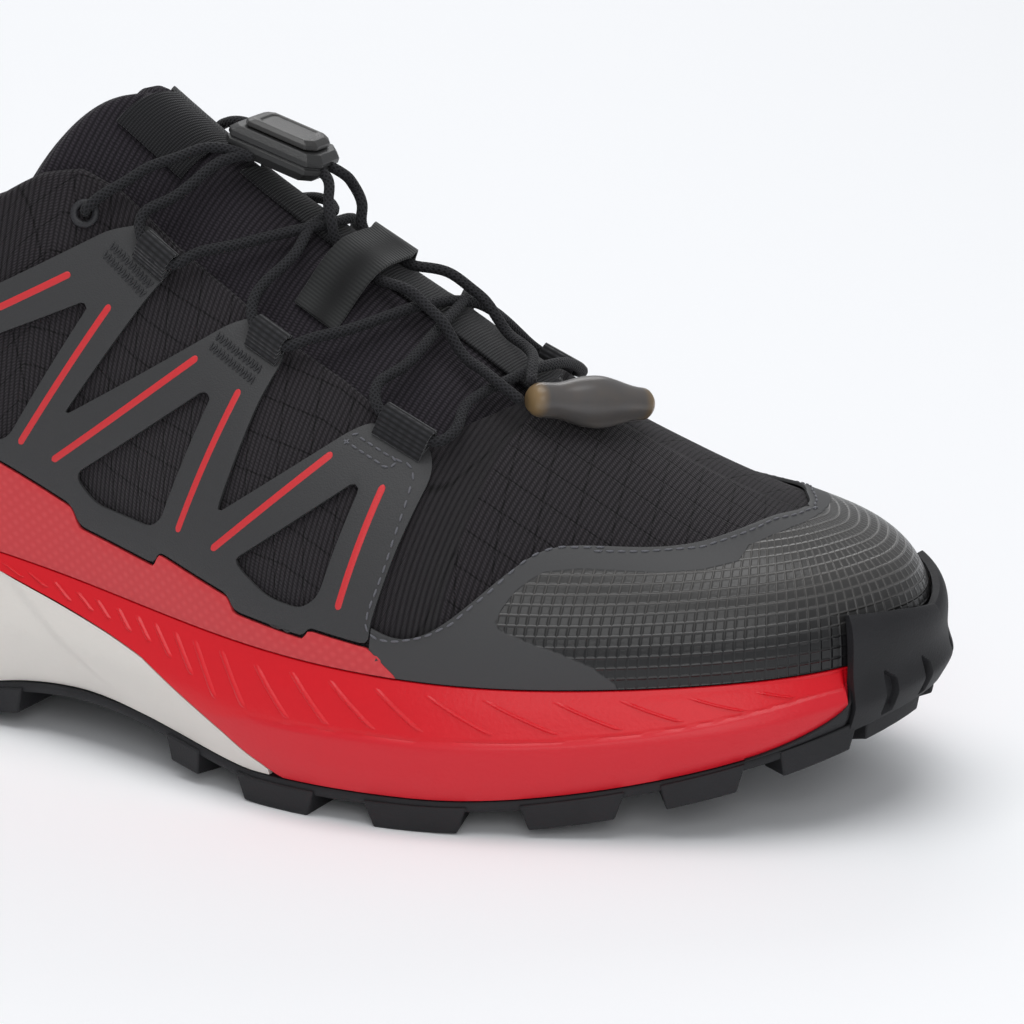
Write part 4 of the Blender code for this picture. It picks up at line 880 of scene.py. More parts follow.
WINDOWS = [
    [(0.387, 0.737), (0.391, 0.725), (0.337, 0.342), (0.327, 0.318), (0.247, 0.310),
     (0.227, 0.350), (0.227, 0.400)],
    [(0.493, 0.596), (0.500, 0.585), (0.473, 0.254), (0.463, 0.228), (0.413, 0.236),
     (0.397, 0.280), (0.397, 0.305)],
    [(0.620, 0.459), (0.625, 0.447), (0.610, 0.182), (0.597, 0.143), (0.570, 0.150),
     (0.547, 0.196), (0.540, 0.220)],
]
FLAT = np.array([LENGTH, INSTEP_HEIGHT])
FILM_FOOT = 0.0008 + GAP  # where a film begins, over the sole's edge
FILM_START = FILM_FOOT / INSTEP_HEIGHT
FILM_ROUNDING = 0.00022


def rounded(loop, radius, spacing):
    """A closed outline with each corner swapped for a parabola's arc, cut into even steps."""
    loop = np.asarray(loop, float)
    before, after = np.roll(loop, 1, axis=0), np.roll(loop, -1, axis=0)
    cut = []
    for a, corner, b in zip(before, loop, after):
        back, ahead = a - corner, b - corner
        lengths = np.linalg.norm(back), np.linalg.norm(ahead)
        reach = min(radius, 0.45 * lengths[0], 0.45 * lengths[1])
        u = np.linspace(0, 1, 7)[:, None]
        start, end = corner + back / lengths[0] * reach, corner + ahead / lengths[1] * reach
        cut.append((1 - u) ** 2 * start + 2 * u * (1 - u) * corner + u ** 2 * end)
    line = np.concatenate(cut + [cut[0][:1]])
    steps = np.linalg.norm(np.diff(line, axis=0), axis=1)
    line = line[np.concatenate([[True], steps > 1e-7])]
    run = run_length(line)
    at = np.linspace(0, run[-1], max(8, round(run[-1] / spacing)) + 1)[:-1]
    return read_line(line, run, at)


def inside(points, loop):
    """Which points lie inside a closed loop, by the even-odd rule."""
    x, y = points.T
    result = np.zeros(len(points), bool)
    for (x1, y1), (x2, y2) in zip(loop, np.roll(loop, -1, axis=0)):
        crossing = (y1 > y) != (y2 > y)
        result ^= crossing & (x < x1 + (y - y1) * (x2 - x1) / (y2 - y1 if y2 != y1 else 1))
    return result


def on_film(points, outline, holes):
    """Which points lie inside an outline and outside each of its holes."""
    return inside(points, outline) & ~np.any([inside(points, hole) for hole in holes], axis=0)


def fill(outline, holes, spacing):
    """Flat points and triangles that fill an outline less its holes."""
    low, high = outline.min(axis=0), outline.max(axis=0)
    rows = np.arange(low[1], high[1], 0.87 * spacing)
    x, y = np.meshgrid(np.arange(low[0], high[0], spacing), rows)
    x[1::2] += spacing / 2
    inner = np.stack([x.ravel(), y.ravel()], 1)
    loops = [outline, *holes]
    inner = inner[on_film(inner, outline, holes)]
    rim = np.concatenate(loops)
    near = np.full(len(inner), 9.0)
    for part in np.array_split(rim, max(1, len(rim) // 200)):
        near = np.minimum(near, np.linalg.norm(inner[:, None] - part[None], axis=2).min(axis=1))
    points = np.concatenate([rim, inner[near > 0.55 * spacing]])
    links, first = [], 0
    for loop in loops:
        links += [(first + k, first + (k + 1) % len(loop)) for k in range(len(loop))]
        first += len(loop)
    flat, _, faces, *_ = geometry.delaunay_2d_cdt([Vector(p) for p in points], links, [], 0, 1e-7)
    flat = np.array([tuple(p) for p in flat])
    faces = np.array([tuple(f) for f in faces])
    return flat, faces[on_film(flat[faces].mean(axis=1), outline, holes)]


def places(flat, side):
    """t and v of points drawn flat: x is the place along the shoe, y the height."""
    return locate(from_heel(flat[..., 0] / LENGTH), flat[..., 1], side)


def cut_film(name, outline, holes, side, material, lift, thickness, spacing=0.0022):
    """A piece of film with rounded rims, cut to an outline and laid on the last."""
    flat, faces = fill(outline, holes, spacing)
    points = last(*places(flat, side), side, lift)
    piece = face_away(make_mesh(name, points, faces, material, flat, sharp=0), INSIDE)
    return thicken(piece, thickness, rounding=FILM_ROUNDING, even=False)


# %% Film materials
def film_material(name, colour, roughness, relief=0.00006, specular=0.35):
    """Matte urethane film: an even colour with a grain as fine as skin, and a low gloss."""
    material, tree, surface = shader(name, colour, roughness, specular=specular)
    place = add(tree, "TexCoord").outputs["Object"]
    pebbles = add(tree, "TexVoronoi", links={0: place}, Scale=2600.0).outputs["Distance"]
    bump(tree, surface, math_node(tree, "MULTIPLY_ADD", grain(tree, 900.0), 0.5, pebbles), relief)
    return material


def rand_material():
    """Red film over a coarse woven ground: rows of small hexagons press through it faintly."""
    material, tree, surface = shader("red rand film", "c9323a", 0.42, specular=0.4)
    x, y = uv_in_mm(tree)
    half = math_node(tree, "MULTIPLY", x, 0.5)
    rows = [wave(tree, math_node(tree, "MULTIPLY_ADD", y, lean, half), 1.5) for lean in (0.58, -0.58)]
    cells = math_node(tree, "MULTIPLY", *rows)
    paint(tree, surface, cells, "ca383d", "d14346")
    bump(tree, surface, cells, 0.00005)
    return material


film = film_material("dark grey film", "3a3a3b", 0.55)
red_rand = rand_material()

# %% Slots
# Each loop of webbing comes out of a short slot in an arm: middle in t and v, just under the cord.
SLOT_LENGTH, SLOT_WIDTH, SLOT_DROP = 0.0092, 0.0020, 0.0040
SLOTS = {-1: [(0.605, 0.585), (0.525, 0.590), (0.436, 0.580)],
         1: [(0.605, 0.585), (0.5265, 0.620), (0.420, 0.580)]}


def slot_outline(t, v, side):
    """The four corners of a slot, drawn flat: found on the last, then read back as x and height."""
    middle = last_point(t, v, side)
    forward = unit(last_point(t - STEP, v, side) - last_point(t + STEP, v, side))
    down = last_point(t, v - 0.02, side) - last_point(t, v + 0.02, side)
    down = unit(down - forward * down.dot(forward))
    corners = [middle + forward * a * SLOT_LENGTH / 2 + down * (SLOT_DROP + b * SLOT_WIDTH / 2)
               for a, b in ((-1, -1), (1, -1), (1, 1), (-1, 1))]
    return np.array([(share_of_length(x) * LENGTH, z - edge_height(x)) for x, _, z in corners])


# %% Arms and rands
RIM_STEP = 0.0011
for word, side in (("lateral", -1), ("medial", 1)):
    low = [(share, height + 0.0007 / INSTEP_HEIGHT) for share, height in RAND_EDGE]
    outline = rounded(np.array(FRAME_TOP + low) * FLAT, 0.0022, RIM_STEP)
    holes = [rounded(np.array(window) * FLAT, 0.0030, RIM_STEP) for window in WINDOWS]
    holes += [rounded(slot_outline(t, v, side), 0.0006, RIM_STEP) for t, v in SLOTS[side]]
    arms = cut_film("film_arms_" + word, outline, holes, side, film, FILM_GAP, FILM)
    dress(arms, "film", "frame_" + word)
    band = RAND_EDGE + [(0.672, FILM_START)] + [(share, FILM_START) for share in (0.6, 0.4, 0.15)]
    band = rounded(np.array(band) * FLAT, 0.0006, RIM_STEP)
    rand = cut_film("rand_" + word + "_film", band, [], side, red_rand, FILM_GAP, 1.15 * FILM)
    dress(rand, "red_film", "rand_" + word)
print("film arms:", len(arms.data.polygons), "triangles a side")

# %% [markdown]
# ## Red lines, seams and bar tacks
#
# A red line 1.7 mm wide with round ends is printed down each arm. Where webbing lies under the
# film, a bar tack holds it: a dense zigzag of thread on the two rear arms, and a stitched box on
# the front one, from which a running seam goes round the mesh gap and along the toe cap.

# %% Places on the films, as shares of the length and of the instep height
RED_LINES = [
    [(0.3744, 0.798), (0.3216, 0.668)], [(0.4079, 0.743), (0.3460, 0.329)],
    [(0.4829, 0.668), (0.3743, 0.312)], [(0.5205, 0.616), (0.4888, 0.241)],
    [(0.5999, 0.514), (0.5202, 0.226)], [(0.6405, 0.461), (0.6253, 0.162)],
]
BAR_TACKS = [[(0.3999, 0.873), (0.4333, 0.797)], [(0.4929, 0.712), (0.5301, 0.654)]]
BOX = [(0.6073, 0.542), (0.6112, 0.560), (0.6451, 0.512), (0.6405, 0.495), (0.6073, 0.542)]
SEAM = [
    (0.6453, 0.514), (0.6545, 0.504), (0.6585, 0.480), (0.6585, 0.417), (0.6570, 0.361),
    (0.6550, 0.289), (0.6515, 0.226), (0.6475, 0.167), (0.6480, 0.127), (0.6559, 0.106),
    (0.6711, 0.110), (0.6889, 0.130), (0.7048, 0.165), (0.7163, 0.208), (0.7276, 0.250),
    (0.7375, 0.291), (0.7473, 0.326), (0.7566, 0.341), (0.7657, 0.346), (0.7896, 0.342),
]
CAP_SEAM = np.array([
    (0.302, 0.478), (0.276, 0.508), (0.237, 0.572), (0.212, 0.655), (0.174, 0.790), (0.146, 0.830),
    (0.100, 0.875), (0.054, 0.905), (0.000, 0.905),
])


STITCH, BOX_STITCH, TACK = (0.0024, 0.0018), (0.0019, 0.0015), (0.00055, 0.0021)  # pitch, length
THREAD_RADIUS, TACK_RADIUS = 0.00026, 0.00024
TACK_SLANT, TACK_OFFSET = 1.32, 0.0011
LINE_WIDTH, LINE_SINK, LINE_CROWN = 0.0017, 0.00012, 0.00028


def even_steps(line, run, step):
    """Points of a line at even steps of a length that grows along it."""
    return read_line(line, run, np.linspace(0, run[-1], max(2, round(run[-1] / step)) + 1))


def printed_line(line, side, steps=44, columns=6):
    """A round-ended raised bead along a line: its half width is a semicircle's at both ends."""
    start, end = np.asarray(line) * FLAT
    length = np.linalg.norm(end - start)
    ahead = (end - start) / length
    aside = np.array([-ahead[1], ahead[0]])
    run = length * (1 - np.cos(np.linspace(0, math.pi, steps + 1))) / 2
    reach = np.minimum(run, length - run)
    to_end = np.clip(1 - reach / (LINE_WIDTH / 2), 0, 1)
    half = LINE_WIDTH / 2 * np.sqrt(np.clip(1 - to_end ** 2, 0, 1))
    across = np.linspace(-1, 1, columns + 1)
    flat = start + ahead * run[:, None, None] + aside * (half[:, None] * across)[..., None]
    crown = LINE_CROWN * np.sqrt(1 - np.abs(across) ** 2.5)
    lift = FILM_GAP + FILM - LINE_SINK + crown + 0 * half[:, None]
    return last(*places(flat, side), side, lift)


def make_red_lines(material):
    """The printed lines of both sides as one piece."""
    grids = [printed_line(line, side) for side in (-1, 1) for line in RED_LINES]
    return face_away(make_surface("red_lines", grids, material, merge=1e-7), INSIDE)


def thread_beads(middles, runs, ups, length, radius):
    """Short stitches: an ellipsoid of 5 by 6 points for each, lying along its run."""
    polar = np.linspace(0, math.pi, 6)
    turn = np.arange(6) * math.pi / 3
    asides = np.cross(runs, ups)
    along = np.cos(polar)[:, None] + 0 * turn
    out = np.sin(polar)[:, None] ** 0.7 * np.cos(turn)
    up = np.sin(polar)[:, None] ** 0.7 * np.sin(turn)
    shape = np.stack([along * length / 2, out * radius, up * radius], -1)
    axes = np.stack([runs, asides, ups], 1)
    points = middles[:, None, None] + np.einsum("rck,nkj->nrcj", shape, axes)
    one = quads(6, 6, round_columns=True)
    faces = one[None] + (np.arange(len(middles)) * 36)[:, None, None]
    return points.reshape(-1, 3), faces.reshape(-1, 4)


def stitches(t, v, side, length, radius, slant=0.0):
    """A row of stitches on the film, each laid along the row.

    With a slant the odd ones turn one way and the even ones the other, as in a zigzag.
    """
    middles = last(t, v, side, FILM_GAP + FILM + 0.00008)
    ups = unit(last(t, v, side, FILM_GAP + FILM + 0.001) - middles)
    runs = np.gradient(middles, axis=0)
    runs = unit(runs - ups * (runs * ups).sum(1, keepdims=True))
    if slant:
        sign = np.where(np.arange(len(runs)) % 2, 1.0, -1.0)[:, None]
        runs = runs * math.cos(slant) + sign * np.cross(ups, runs) * math.sin(slant)
    return thread_beads(middles, runs, ups, length, radius)


def stitched_line(line, side, stitch, radius, slant=0.0):
    """Stitches of a pitch and a length along a line drawn flat, in metres."""
    pitch, length = stitch
    flat = even_steps(line, run_length(line), pitch)
    return stitches(*places(flat, side), side, length, radius, slant)


def make_seams(thread):
    """The seam round the mesh gap, the box on the front arm and the seam along the toe cap."""
    rows = []
    for side in (-1, 1):
        rows.append(stitched_line(np.array(SEAM) * FLAT, side, STITCH, THREAD_RADIUS))
        rows.append(stitched_line(np.array(BOX) * FLAT, side, BOX_STITCH, THREAD_RADIUS))
        fine = read_line(CAP_SEAM, np.linspace(0, 1, len(CAP_SEAM)), np.linspace(0, 1, 200))
        even = even_steps(fine, run_length(last(*fine.T, side, FILM_GAP)), STITCH[0])
        rows.append(stitches(*even.T, side, STITCH[1], THREAD_RADIUS))
    return make_mesh("running_seams", *joined(rows), thread, sharp=0)


def make_bar_tacks(thread):
    """Two zigzag rows beside one another on each rear arm."""
    rows = []
    for side in (-1, 1):
        for line in BAR_TACKS:
            ends = np.array(line) * FLAT
            ahead = unit(ends[1] - ends[0])
            aside = np.array([-ahead[1], ahead[0]])
            for offset in (-TACK_OFFSET, TACK_OFFSET):
                rows.append(stitched_line(ends + aside * offset, side, TACK, TACK_RADIUS, TACK_SLANT))
    return make_mesh("bar_tacks", *joined(rows), thread, sharp=0)


def thread_material(name, colour):
    """Twisted polyester thread, a little shiny."""
    material, tree, surface = shader(name, colour, 0.55, sheen=0.1)
    bump(tree, surface, grain(tree, 4000.0), 0.00010)
    return material


red_print = film_material("red printed line", "cf3338", 0.42, 0.00004)
dress(make_red_lines(red_print), "red_film")
dress(make_seams(thread_material("grey seam thread", "5d5d63")), "film")
dress(make_bar_tacks(thread_material("black tack thread", "232326")), "film")

# %% [markdown]
# ## Toe cap and heel counter
#
# The toe cap is one film from the front arm round the toes. Along its upper edge it is smooth and
# matte. Below that it is a glossy panel with a waffle of square cells 2.2 mm wide, for scuffs; a
# smooth tail runs under the panel at the rear. Where one finish ends and the next begins is
# worked out for each point and kept on the mesh as an attribute that the material reads.

# %% Toe cap
PANEL_TOP = np.array([
    (0.00, 0.870), (0.05, 0.860), (0.10, 0.820), (0.146, 0.756), (0.175, 0.690), (0.199, 0.614),
    (0.206, 0.525), (0.231, 0.472), (0.258, 0.440), (0.283, 0.426), (0.309, 0.408), (0.330, 0.375),
    (0.337, 0.344), (0.344, 0.304), (0.350, 0.240), (0.3515, 0.205),
])
PANEL_LOW = np.array([
    (0.00, -0.1), (0.262, -0.1), (0.274, 0.037), (0.289, 0.094), (0.309, 0.134), (0.334, 0.167),
    (0.348, 0.187), (0.3515, 0.205),
])
V_LENGTH, T_LENGTH = 0.055, 0.35  # rough metres for one of v and one of t at the toes


def sole_v(t, height, side):
    """v of a height over the sole's edge at each t, by searching a row of points up the side."""
    v = np.linspace(0, 0.6, 60)
    rise = last_point(t[:, None] + 0 * v, v + 0 * t[:, None], side)[..., 2]
    rise -= rise[:, :1]
    heights = np.broadcast_to(height, len(t))
    return np.array([np.interp(one, row, v) for one, row in zip(heights, rise)])


def side_band(t, low, high, side, columns):
    """v and the points of a film that goes from a low to a high v at each t."""
    v = low[:, None] + (high - low)[:, None] * np.linspace(0, 1, columns)
    return v, last(t[:, None] + 0 * v, v, side, FILM_GAP)


def make_cap(material, columns=46):
    """The cap film, with two marks: "panel" is over 0 inside the glossy panel, "height" is v."""
    t = np.unique(np.concatenate([np.linspace(0, CAP_EDGE[-1, 0], 190), CAP_EDGE[:, 0]]))
    grids, uvs, panels, heights = [], [], [], []
    for side in (-1, 1):
        low, high = sole_v(t, FILM_FOOT, side), spline(CAP_EDGE[:, 0], CAP_EDGE[:, 1], t)
        v, grid = side_band(t, low, high, side, columns)
        upper_gap = np.interp(t, *PANEL_TOP.T)[:, None] - v
        lower_gap = v - np.interp(t, *PANEL_LOW.T)[:, None]
        rear_gap = PANEL_TOP[-1, 0] - t[:, None]
        panels.append(np.minimum(np.minimum(upper_gap, lower_gap) * V_LENGTH, rear_gap * T_LENGTH))
        heights.append(v)
        u = run_length(grid[:, columns // 3])[:, None] * -side + 0 * v
        uvs.append(np.stack([u, lengths_over(grid, 1)], -1))
        grids.append(grid)
    piece = make_surface("toe_cap_film", grids, material, uvs)
    mark(piece, "panel", np.concatenate(panels))
    mark(piece, "height", np.concatenate(heights))
    face_away(weld(piece, turn_outward=False), INSIDE)
    return thicken(piece, FILM, rounding=FILM_ROUNDING)


def cap_material():
    """Toe cap film: a matte grey border, and a glossy darker panel cut by a pale waffle of lines.

    Toward the sole the panel is painted darker and its pale lines fade out: painted shade low down, and
    a painted highlight on the upper panel.
    """
    material, tree, surface = shader("toe cap film", "3b3b3c", 0.5, specular=0.45)
    panel, height = (add(tree, "Attribute", attribute_name=name).outputs["Fac"]
                     for name in ("panel", "height"))
    inner = math_node(tree, "MULTIPLY_ADD", panel, 2500.0, 0.5, clamp=True)
    x, y = uv_in_mm(tree)
    lines = math_node(tree, "MAXIMUM", wave(tree, x, 2.2), wave(tree, y, 2.2))
    ridge = math_node(tree, "POWER", lines, 9.0)
    # Painted light: the panel's ground runs from 161617 low on the cap to 403f3e higher up, and the pale
    # lines show only higher up.
    fade = math_node(tree, "MULTIPLY_ADD", height, 3.0, -0.42, clamp=True)
    strength = math_node(tree, "MULTIPLY", ridge, inner)
    shown = math_node(tree, "MULTIPLY", strength, fade)
    dark = blend_colours(tree, fade, "161617", "403f3e")
    ground = blend_colours(tree, inner, "3b3b3c", dark)
    paint(tree, surface, shown, ground, "5e5c5a")
    tree.links.new(math_node(tree, "MULTIPLY_ADD", inner, -0.26, 0.54), surface.inputs["Roughness"])
    skin = math_node(tree, "MULTIPLY", grain(tree, 1800.0), 0.10)
    relief = math_node(tree, "MULTIPLY_ADD", strength, 0.6, skin)
    edge = math_node(tree, "MULTIPLY_ADD", inner, -0.7, relief)
    bump(tree, surface, edge, 0.00035)
    return material


cap = make_cap(cap_material())
dress(cap, "film", "toe_cap")

# %% Heel counter
COUNTER_EDGE = np.array([(0.865, 0.36), (0.90, 0.40), (0.95, 0.46), (1.00, 0.50)])


def make_counter(material, columns=24):
    """A film round the heel, from the sole's edge to the heights of COUNTER_EDGE."""
    t = np.linspace(COUNTER_EDGE[0, 0], 1.0, 60)
    heights = spline(COUNTER_EDGE[:, 0], COUNTER_EDGE[:, 1], t) * INSTEP_HEIGHT
    grids = [side_band(t, sole_v(t, FILM_FOOT, side), sole_v(t, heights, side), side, columns)[1]
             for side in (-1, 1)]
    uvs = [grid[..., [0, 2]] for grid in grids]
    piece = make_surface("heel_counter_film", grids, material, uvs, merge=2e-6)
    return thicken(face_away(piece, INSIDE), FILM, rounding=FILM_ROUNDING)


dress(make_counter(film), "film", "heel_counter")

# %% [markdown]
# ## Tongue, strip, label and elastic band
#
# The tongue is a padded knit with cords 1.3 mm apart across it. A narrow woven strip runs down its
# middle, a wider label folds over its top, and a ribbed elastic band keeps the free cords down.

# %% Tongue
TONGUE_FRONT = 0.350
TONGUE_TOP, TONGUE_TOP_BOW = 0.664, 0.050
TONGUE_EDGE = 0.47
TONGUE_SINK = -0.0026
TONGUE_LIFT = np.array([
    (0.40, TONGUE_SINK), (0.65, TONGUE_SINK), (0.85, -0.0014), (0.93, -0.0008), (1.00, -0.0008),
])
TONGUE_THICKNESS = 0.0042


def make_tongue(material, rows=120, columns=52):
    """Front and back faces of a pad with round rims: the half thickness fades as a circle does."""
    v = np.linspace(TONGUE_EDGE, 1.0, columns)[None]
    share = np.linspace(0, 1, rows)[:, None]
    top = TONGUE_TOP + TONGUE_TOP_BOW * (1 - v)
    t = TONGUE_FRONT + (top - TONGUE_FRONT) * share
    under = np.clip((t - 0.400) / 0.03, 0, 1)
    front = TONGUE_SINK + (np.interp(v, *TONGUE_LIFT.T) - TONGUE_SINK) * under
    rim = np.clip((1 - share) / 0.022, 0, 1) * np.ones_like(t)
    rim = np.minimum(rim, np.clip((v - TONGUE_EDGE) / 0.035, 0, 1))
    bulge = TONGUE_THICKNESS / 2 * np.sqrt(1 - (1 - rim) ** 2)
    middle = front - TONGUE_THICKNESS / 2
    grids, uvs = [], []
    for side in (-1, 1):
        for face in (1, -1):
            grid = last(t, v + 0 * t, side, middle + face * bulge)
            girth = lengths_over(grid, 1)
            uvs.append(np.stack([lengths_over(grid, 0), girth[:, -1:] - girth], -1))
            grids.append(grid)
    return make_surface("knit_tongue", grids, material, uvs, merge=3e-6)


tongue_knit = knit_material("corded tongue knit", "08080a", "38333a", 1.30, 0.70, lines=False)
tongue = make_tongue(tongue_knit)
dress(tongue, "knit", "tongue")

# %% Woven strip, label and band
PLY = 0.0008


def make_patch(name, t_range, w_values, lifts, thickness, material, columns=28, rows=60):
    """A strip of cloth over the tongue: t from end to end, w across, a lift for each w."""
    w = np.linspace(w_values[0], w_values[-1], columns)
    lift = spline(w_values, np.broadcast_to(lifts, len(w_values)), w)
    t = np.linspace(*t_range, rows)[:, None]
    grid = over(t + 0 * w, w[None] + 0 * t, lift[None] + 0 * t)
    uv = np.stack([lengths_over(grid, 0), lengths_over(grid, 1)], -1)
    piece = face_away(make_surface(name, [grid], material, [uv]), INSIDE)
    return thicken(piece, thickness, rounding=0.0002)


def webbing_material(name, colour, light, pitch, cross=0.45):
    """Woven tape: ribs of one pitch along its run, crossed by threads of another, in mm."""
    material, tree, surface = shader(name, colour, 0.8, sheen=0.2, specular=0.2)
    run, girth = uv_in_mm(tree)
    thread = math_node(tree, "MULTIPLY_ADD", wave(tree, girth, cross), 0.5, 0.5)
    weave = math_node(tree, "MULTIPLY", wave(tree, run, pitch), thread)
    soft = math_node(tree, "MULTIPLY_ADD", grain(tree, 3000.0), 0.25, weave)
    paint(tree, surface, soft, colour, light)
    bump(tree, surface, soft, 0.00018)
    return material


tape = webbing_material("black woven tape", "0b0b0d", "1f1f22", 0.7)
elastic = webbing_material("ribbed elastic", "0e0e0f", "2b2c2c", 9.0, cross=0.9)
strip = make_patch("woven_strip", (0.395, 0.600), (0.905, 0.968, 1.032, 1.095), -0.00035,
                   0.7 * PLY, tape)
dress(strip, "webbing", "tongue_strip")
label = make_patch("folded_label", (0.618, 0.662), (0.76, 0.90, 1.0, 1.10, 1.24),
                   (-0.0015, -0.00045, -0.00045, -0.00045, -0.0015), PLY, tape, 40, 24)
dress(label, "webbing", "tongue_label")
band = make_patch("elastic_band", (0.499, 0.527),
                  (0.70, 0.77, 0.82, 0.855, 0.93, 1.00, 1.07, 1.110, 1.15, 1.20),
                  (-0.0016, -0.0010, 0.0018, 0.0035, 0.0035, 0.0035, 0.0035, 0.0018, 0.0008, 0.0002),
                  PLY, elastic, 48, 20)
dress(band, "elastic", "tongue_band")

# %% [markdown]
# ## Loops, eyelets, lock and grip
#
# Seven loops of flat webbing carry the lace: each is sewn under the film and folded over the cord.
# The topmost lace ends go into holes with a moulded ring. The lock is a moulded case with a
# sprung button; the grip is a clear, smoky elastomer moulded over both cord ends.

# %% Webbing loops
LOOP_TAIL = 0.0046
LOOP_LENGTH = 0.0085
LOOP_BASE = FILM_GAP + FILM + GAP
LOOPS = {
    "lace_loop_lateral_1": (0.605, 0.585, LOOP_BASE, LOOP_LENGTH),
    "lace_loop_lateral_2": (0.525, 0.590, LOOP_BASE, LOOP_LENGTH),
    "lace_loop_lateral_3": (0.436, 0.580, LOOP_BASE, 1.4 * LOOP_LENGTH),
    "lace_loop_medial_1": (0.605, 1.415, LOOP_BASE, LOOP_LENGTH),
    "lace_loop_medial_2": (0.5265, 1.380, LOOP_BASE, LOOP_LENGTH),
    "lace_loop_medial_3": (0.489, 1.400, LOOP_BASE - 0.0012, LOOP_LENGTH),
    "lace_loop_medial_4": (0.420, 1.420, LOOP_BASE, LOOP_LENGTH),
}


def directions(t, w):
    """A place on the last: the point, then forward along it, across it, and outward."""
    point = over(t, w)
    forward = unit(over(t - STEP, w) - over(t + STEP, w))
    across = over(t, w + 0.02) - over(t, w - 0.02)
    across = unit(across - forward * across.dot(forward))
    outward = np.cross(forward, across)
    return point, forward, across, outward * np.sign(outward.dot(over(t, w, 0.001) - point))


def teardrop(radius, tail, thick, dive):
    """A drop's outline: round the cord, then down a flat tail that dives at its end."""
    turn = np.radians(np.linspace(-90, 118, 20))
    bow = np.stack([np.cos(turn), np.sin(turn)], 1) * radius
    u = np.linspace(0, 1, 9)[1:, None]
    end = np.array([-tail, thick - radius])
    top = bow[-1] + (end - bow[-1]) * np.hstack([u, u * u * (3 - 2 * u)])
    under = np.stack([np.linspace(-tail, 0, 5), np.full(5, -radius)], 1)
    line = np.concatenate([bow, top, under])
    line[:, 1] -= dive * np.clip((-line[:, 0] - 0.6 * tail) / (0.4 * tail), 0, 1)
    return line


def loop_grid(place, slices=9):
    """A folded strip of webbing: outer and inner drop, closed at both mouths by its cut edges."""
    t, w, base, length = place
    point, forward, across, outward = directions(t, w)
    half = LACE_RADIUS + GAP + PLY
    centre = point + outward * (base + half)
    across = across * (1 if w < 1 else -1)
    outer = teardrop(half, LOOP_TAIL, 1.3 * PLY, 0.0009).T
    inner = teardrop(half - PLY, half, 0.0001, 0.0).T
    along = np.concatenate([np.linspace(0.5, -0.5, slices), np.linspace(-0.5, 0.5, slices)]) * length
    rings = []
    for k, place_along in enumerate(along):
        a, b = outer if k < slices else inner
        rings.append(centre + forward * place_along + np.outer(a, across) + np.outer(b, outward))
    grid = np.array(rings + rings[:1])
    run = np.append(along, along[0])[:, None]
    return grid, np.stack(np.broadcast_arrays(run_length(outer.T), run), -1)


def make_loops(material):
    """All seven loops as one piece."""
    grids, uvs = zip(*[loop_grid(place) for place in LOOPS.values()])
    piece = make_surface("webbing_loops", grids, material, uvs, merge=1e-6, sharp=50)
    return round_edges(piece, 0.00022, 60)


loop_tape = webbing_material("loop webbing", "0d0d0e", "2b2b2e", 1.1, cross=2.2)
dress(make_loops(loop_tape), "webbing", *LOOPS)


# %% Eyelets
EYELETS = (0.652, 0.545), (0.652, 1.455)


def make_eyelets(material):
    """Two moulded rings: an oval profile 1.6 mm wide, carried round a circle of radius 2.4 mm."""
    profile = np.linspace(0, 2 * math.pi, 13)[:-1]
    radius = 0.0024 + 0.0008 * np.cos(profile)
    height = 0.0005 + 0.00065 * np.sin(profile)
    turn = np.linspace(0, 2 * math.pi, 41)[:-1, None, None]
    grids = []
    for place in EYELETS:
        point, forward, across, outward = directions(*place)
        ring = radius[None, :, None] * (forward * np.cos(turn) + across * np.sin(turn))
        grid = point + ring + outward * height[None, :, None]
        grids.append(np.concatenate([grid, grid[:1]]))
    return make_surface("eyelet_rings", grids, material, merge=1e-6, round_columns=True)


eyelet_plastic = film_material("moulded eyelet", "2c2c2f", 0.5)
dress(make_eyelets(eyelet_plastic), "lock", "eyelet_lateral", "eyelet_medial")

# %% Lock
LOCK_LENGTH, LOCK_WIDTH, LOCK_HEIGHT, BUTTON_HEIGHT = 0.0225, 0.0165, 0.0062, 0.0018
LOCK_LIFT, LOCK_TILT, LOCK_ROLL = 0.0042, math.radians(16), math.radians(8)
LOCK_PLACE = 0.588, 0.985
LOCK_PLAN = [(0.5, 0.275), (0.40, 0.5), (-0.425, 0.5), (-0.5, 0.35),
             (-0.5, -0.35), (-0.425, -0.5), (0.40, -0.5), (0.5, -0.275)]
# Each level is a height and how far the plan is shrunk there.
CASE_LEVELS = [(0, 0.86), (0.0019, 1.0), (0.0030, 1.0), (0.0032, 0.965), (0.0035, 0.965),
               (0.0037, 1.0), (0.0048, 1.0), (LOCK_HEIGHT, 0.88)]
BUTTON_LEVELS = [(0, 0.76), (BUTTON_HEIGHT * 0.55, 0.76), (BUTTON_HEIGHT, 0.64),
                 (BUTTON_HEIGHT, 0.54), (BUTTON_HEIGHT - 0.0003, 0.50)]


def stacked(name, base, axes, levels, material, bevel):
    """A body of flat rings: the same plan at each height, shrunk by that level's factor."""
    forward, across, outward = axes
    plan = np.array(LOCK_PLAN) * (LOCK_LENGTH, LOCK_WIDTH)
    rings = [base + outward * height + (plan[:, :1] * forward + plan[:, 1:] * across) * shrink
             for height, shrink in levels]
    faces = sleeve_faces(len(levels), len(plan))
    piece = make_mesh(name, np.array(rings), faces, material, sharp=30)
    return round_edges(piece, bevel, 12, segments=3)


def turned(first, second, angle):
    """Two directions at right angles, turned together by an angle."""
    c, s = math.cos(angle), math.sin(angle)
    return first * c + second * s, second * c - first * s


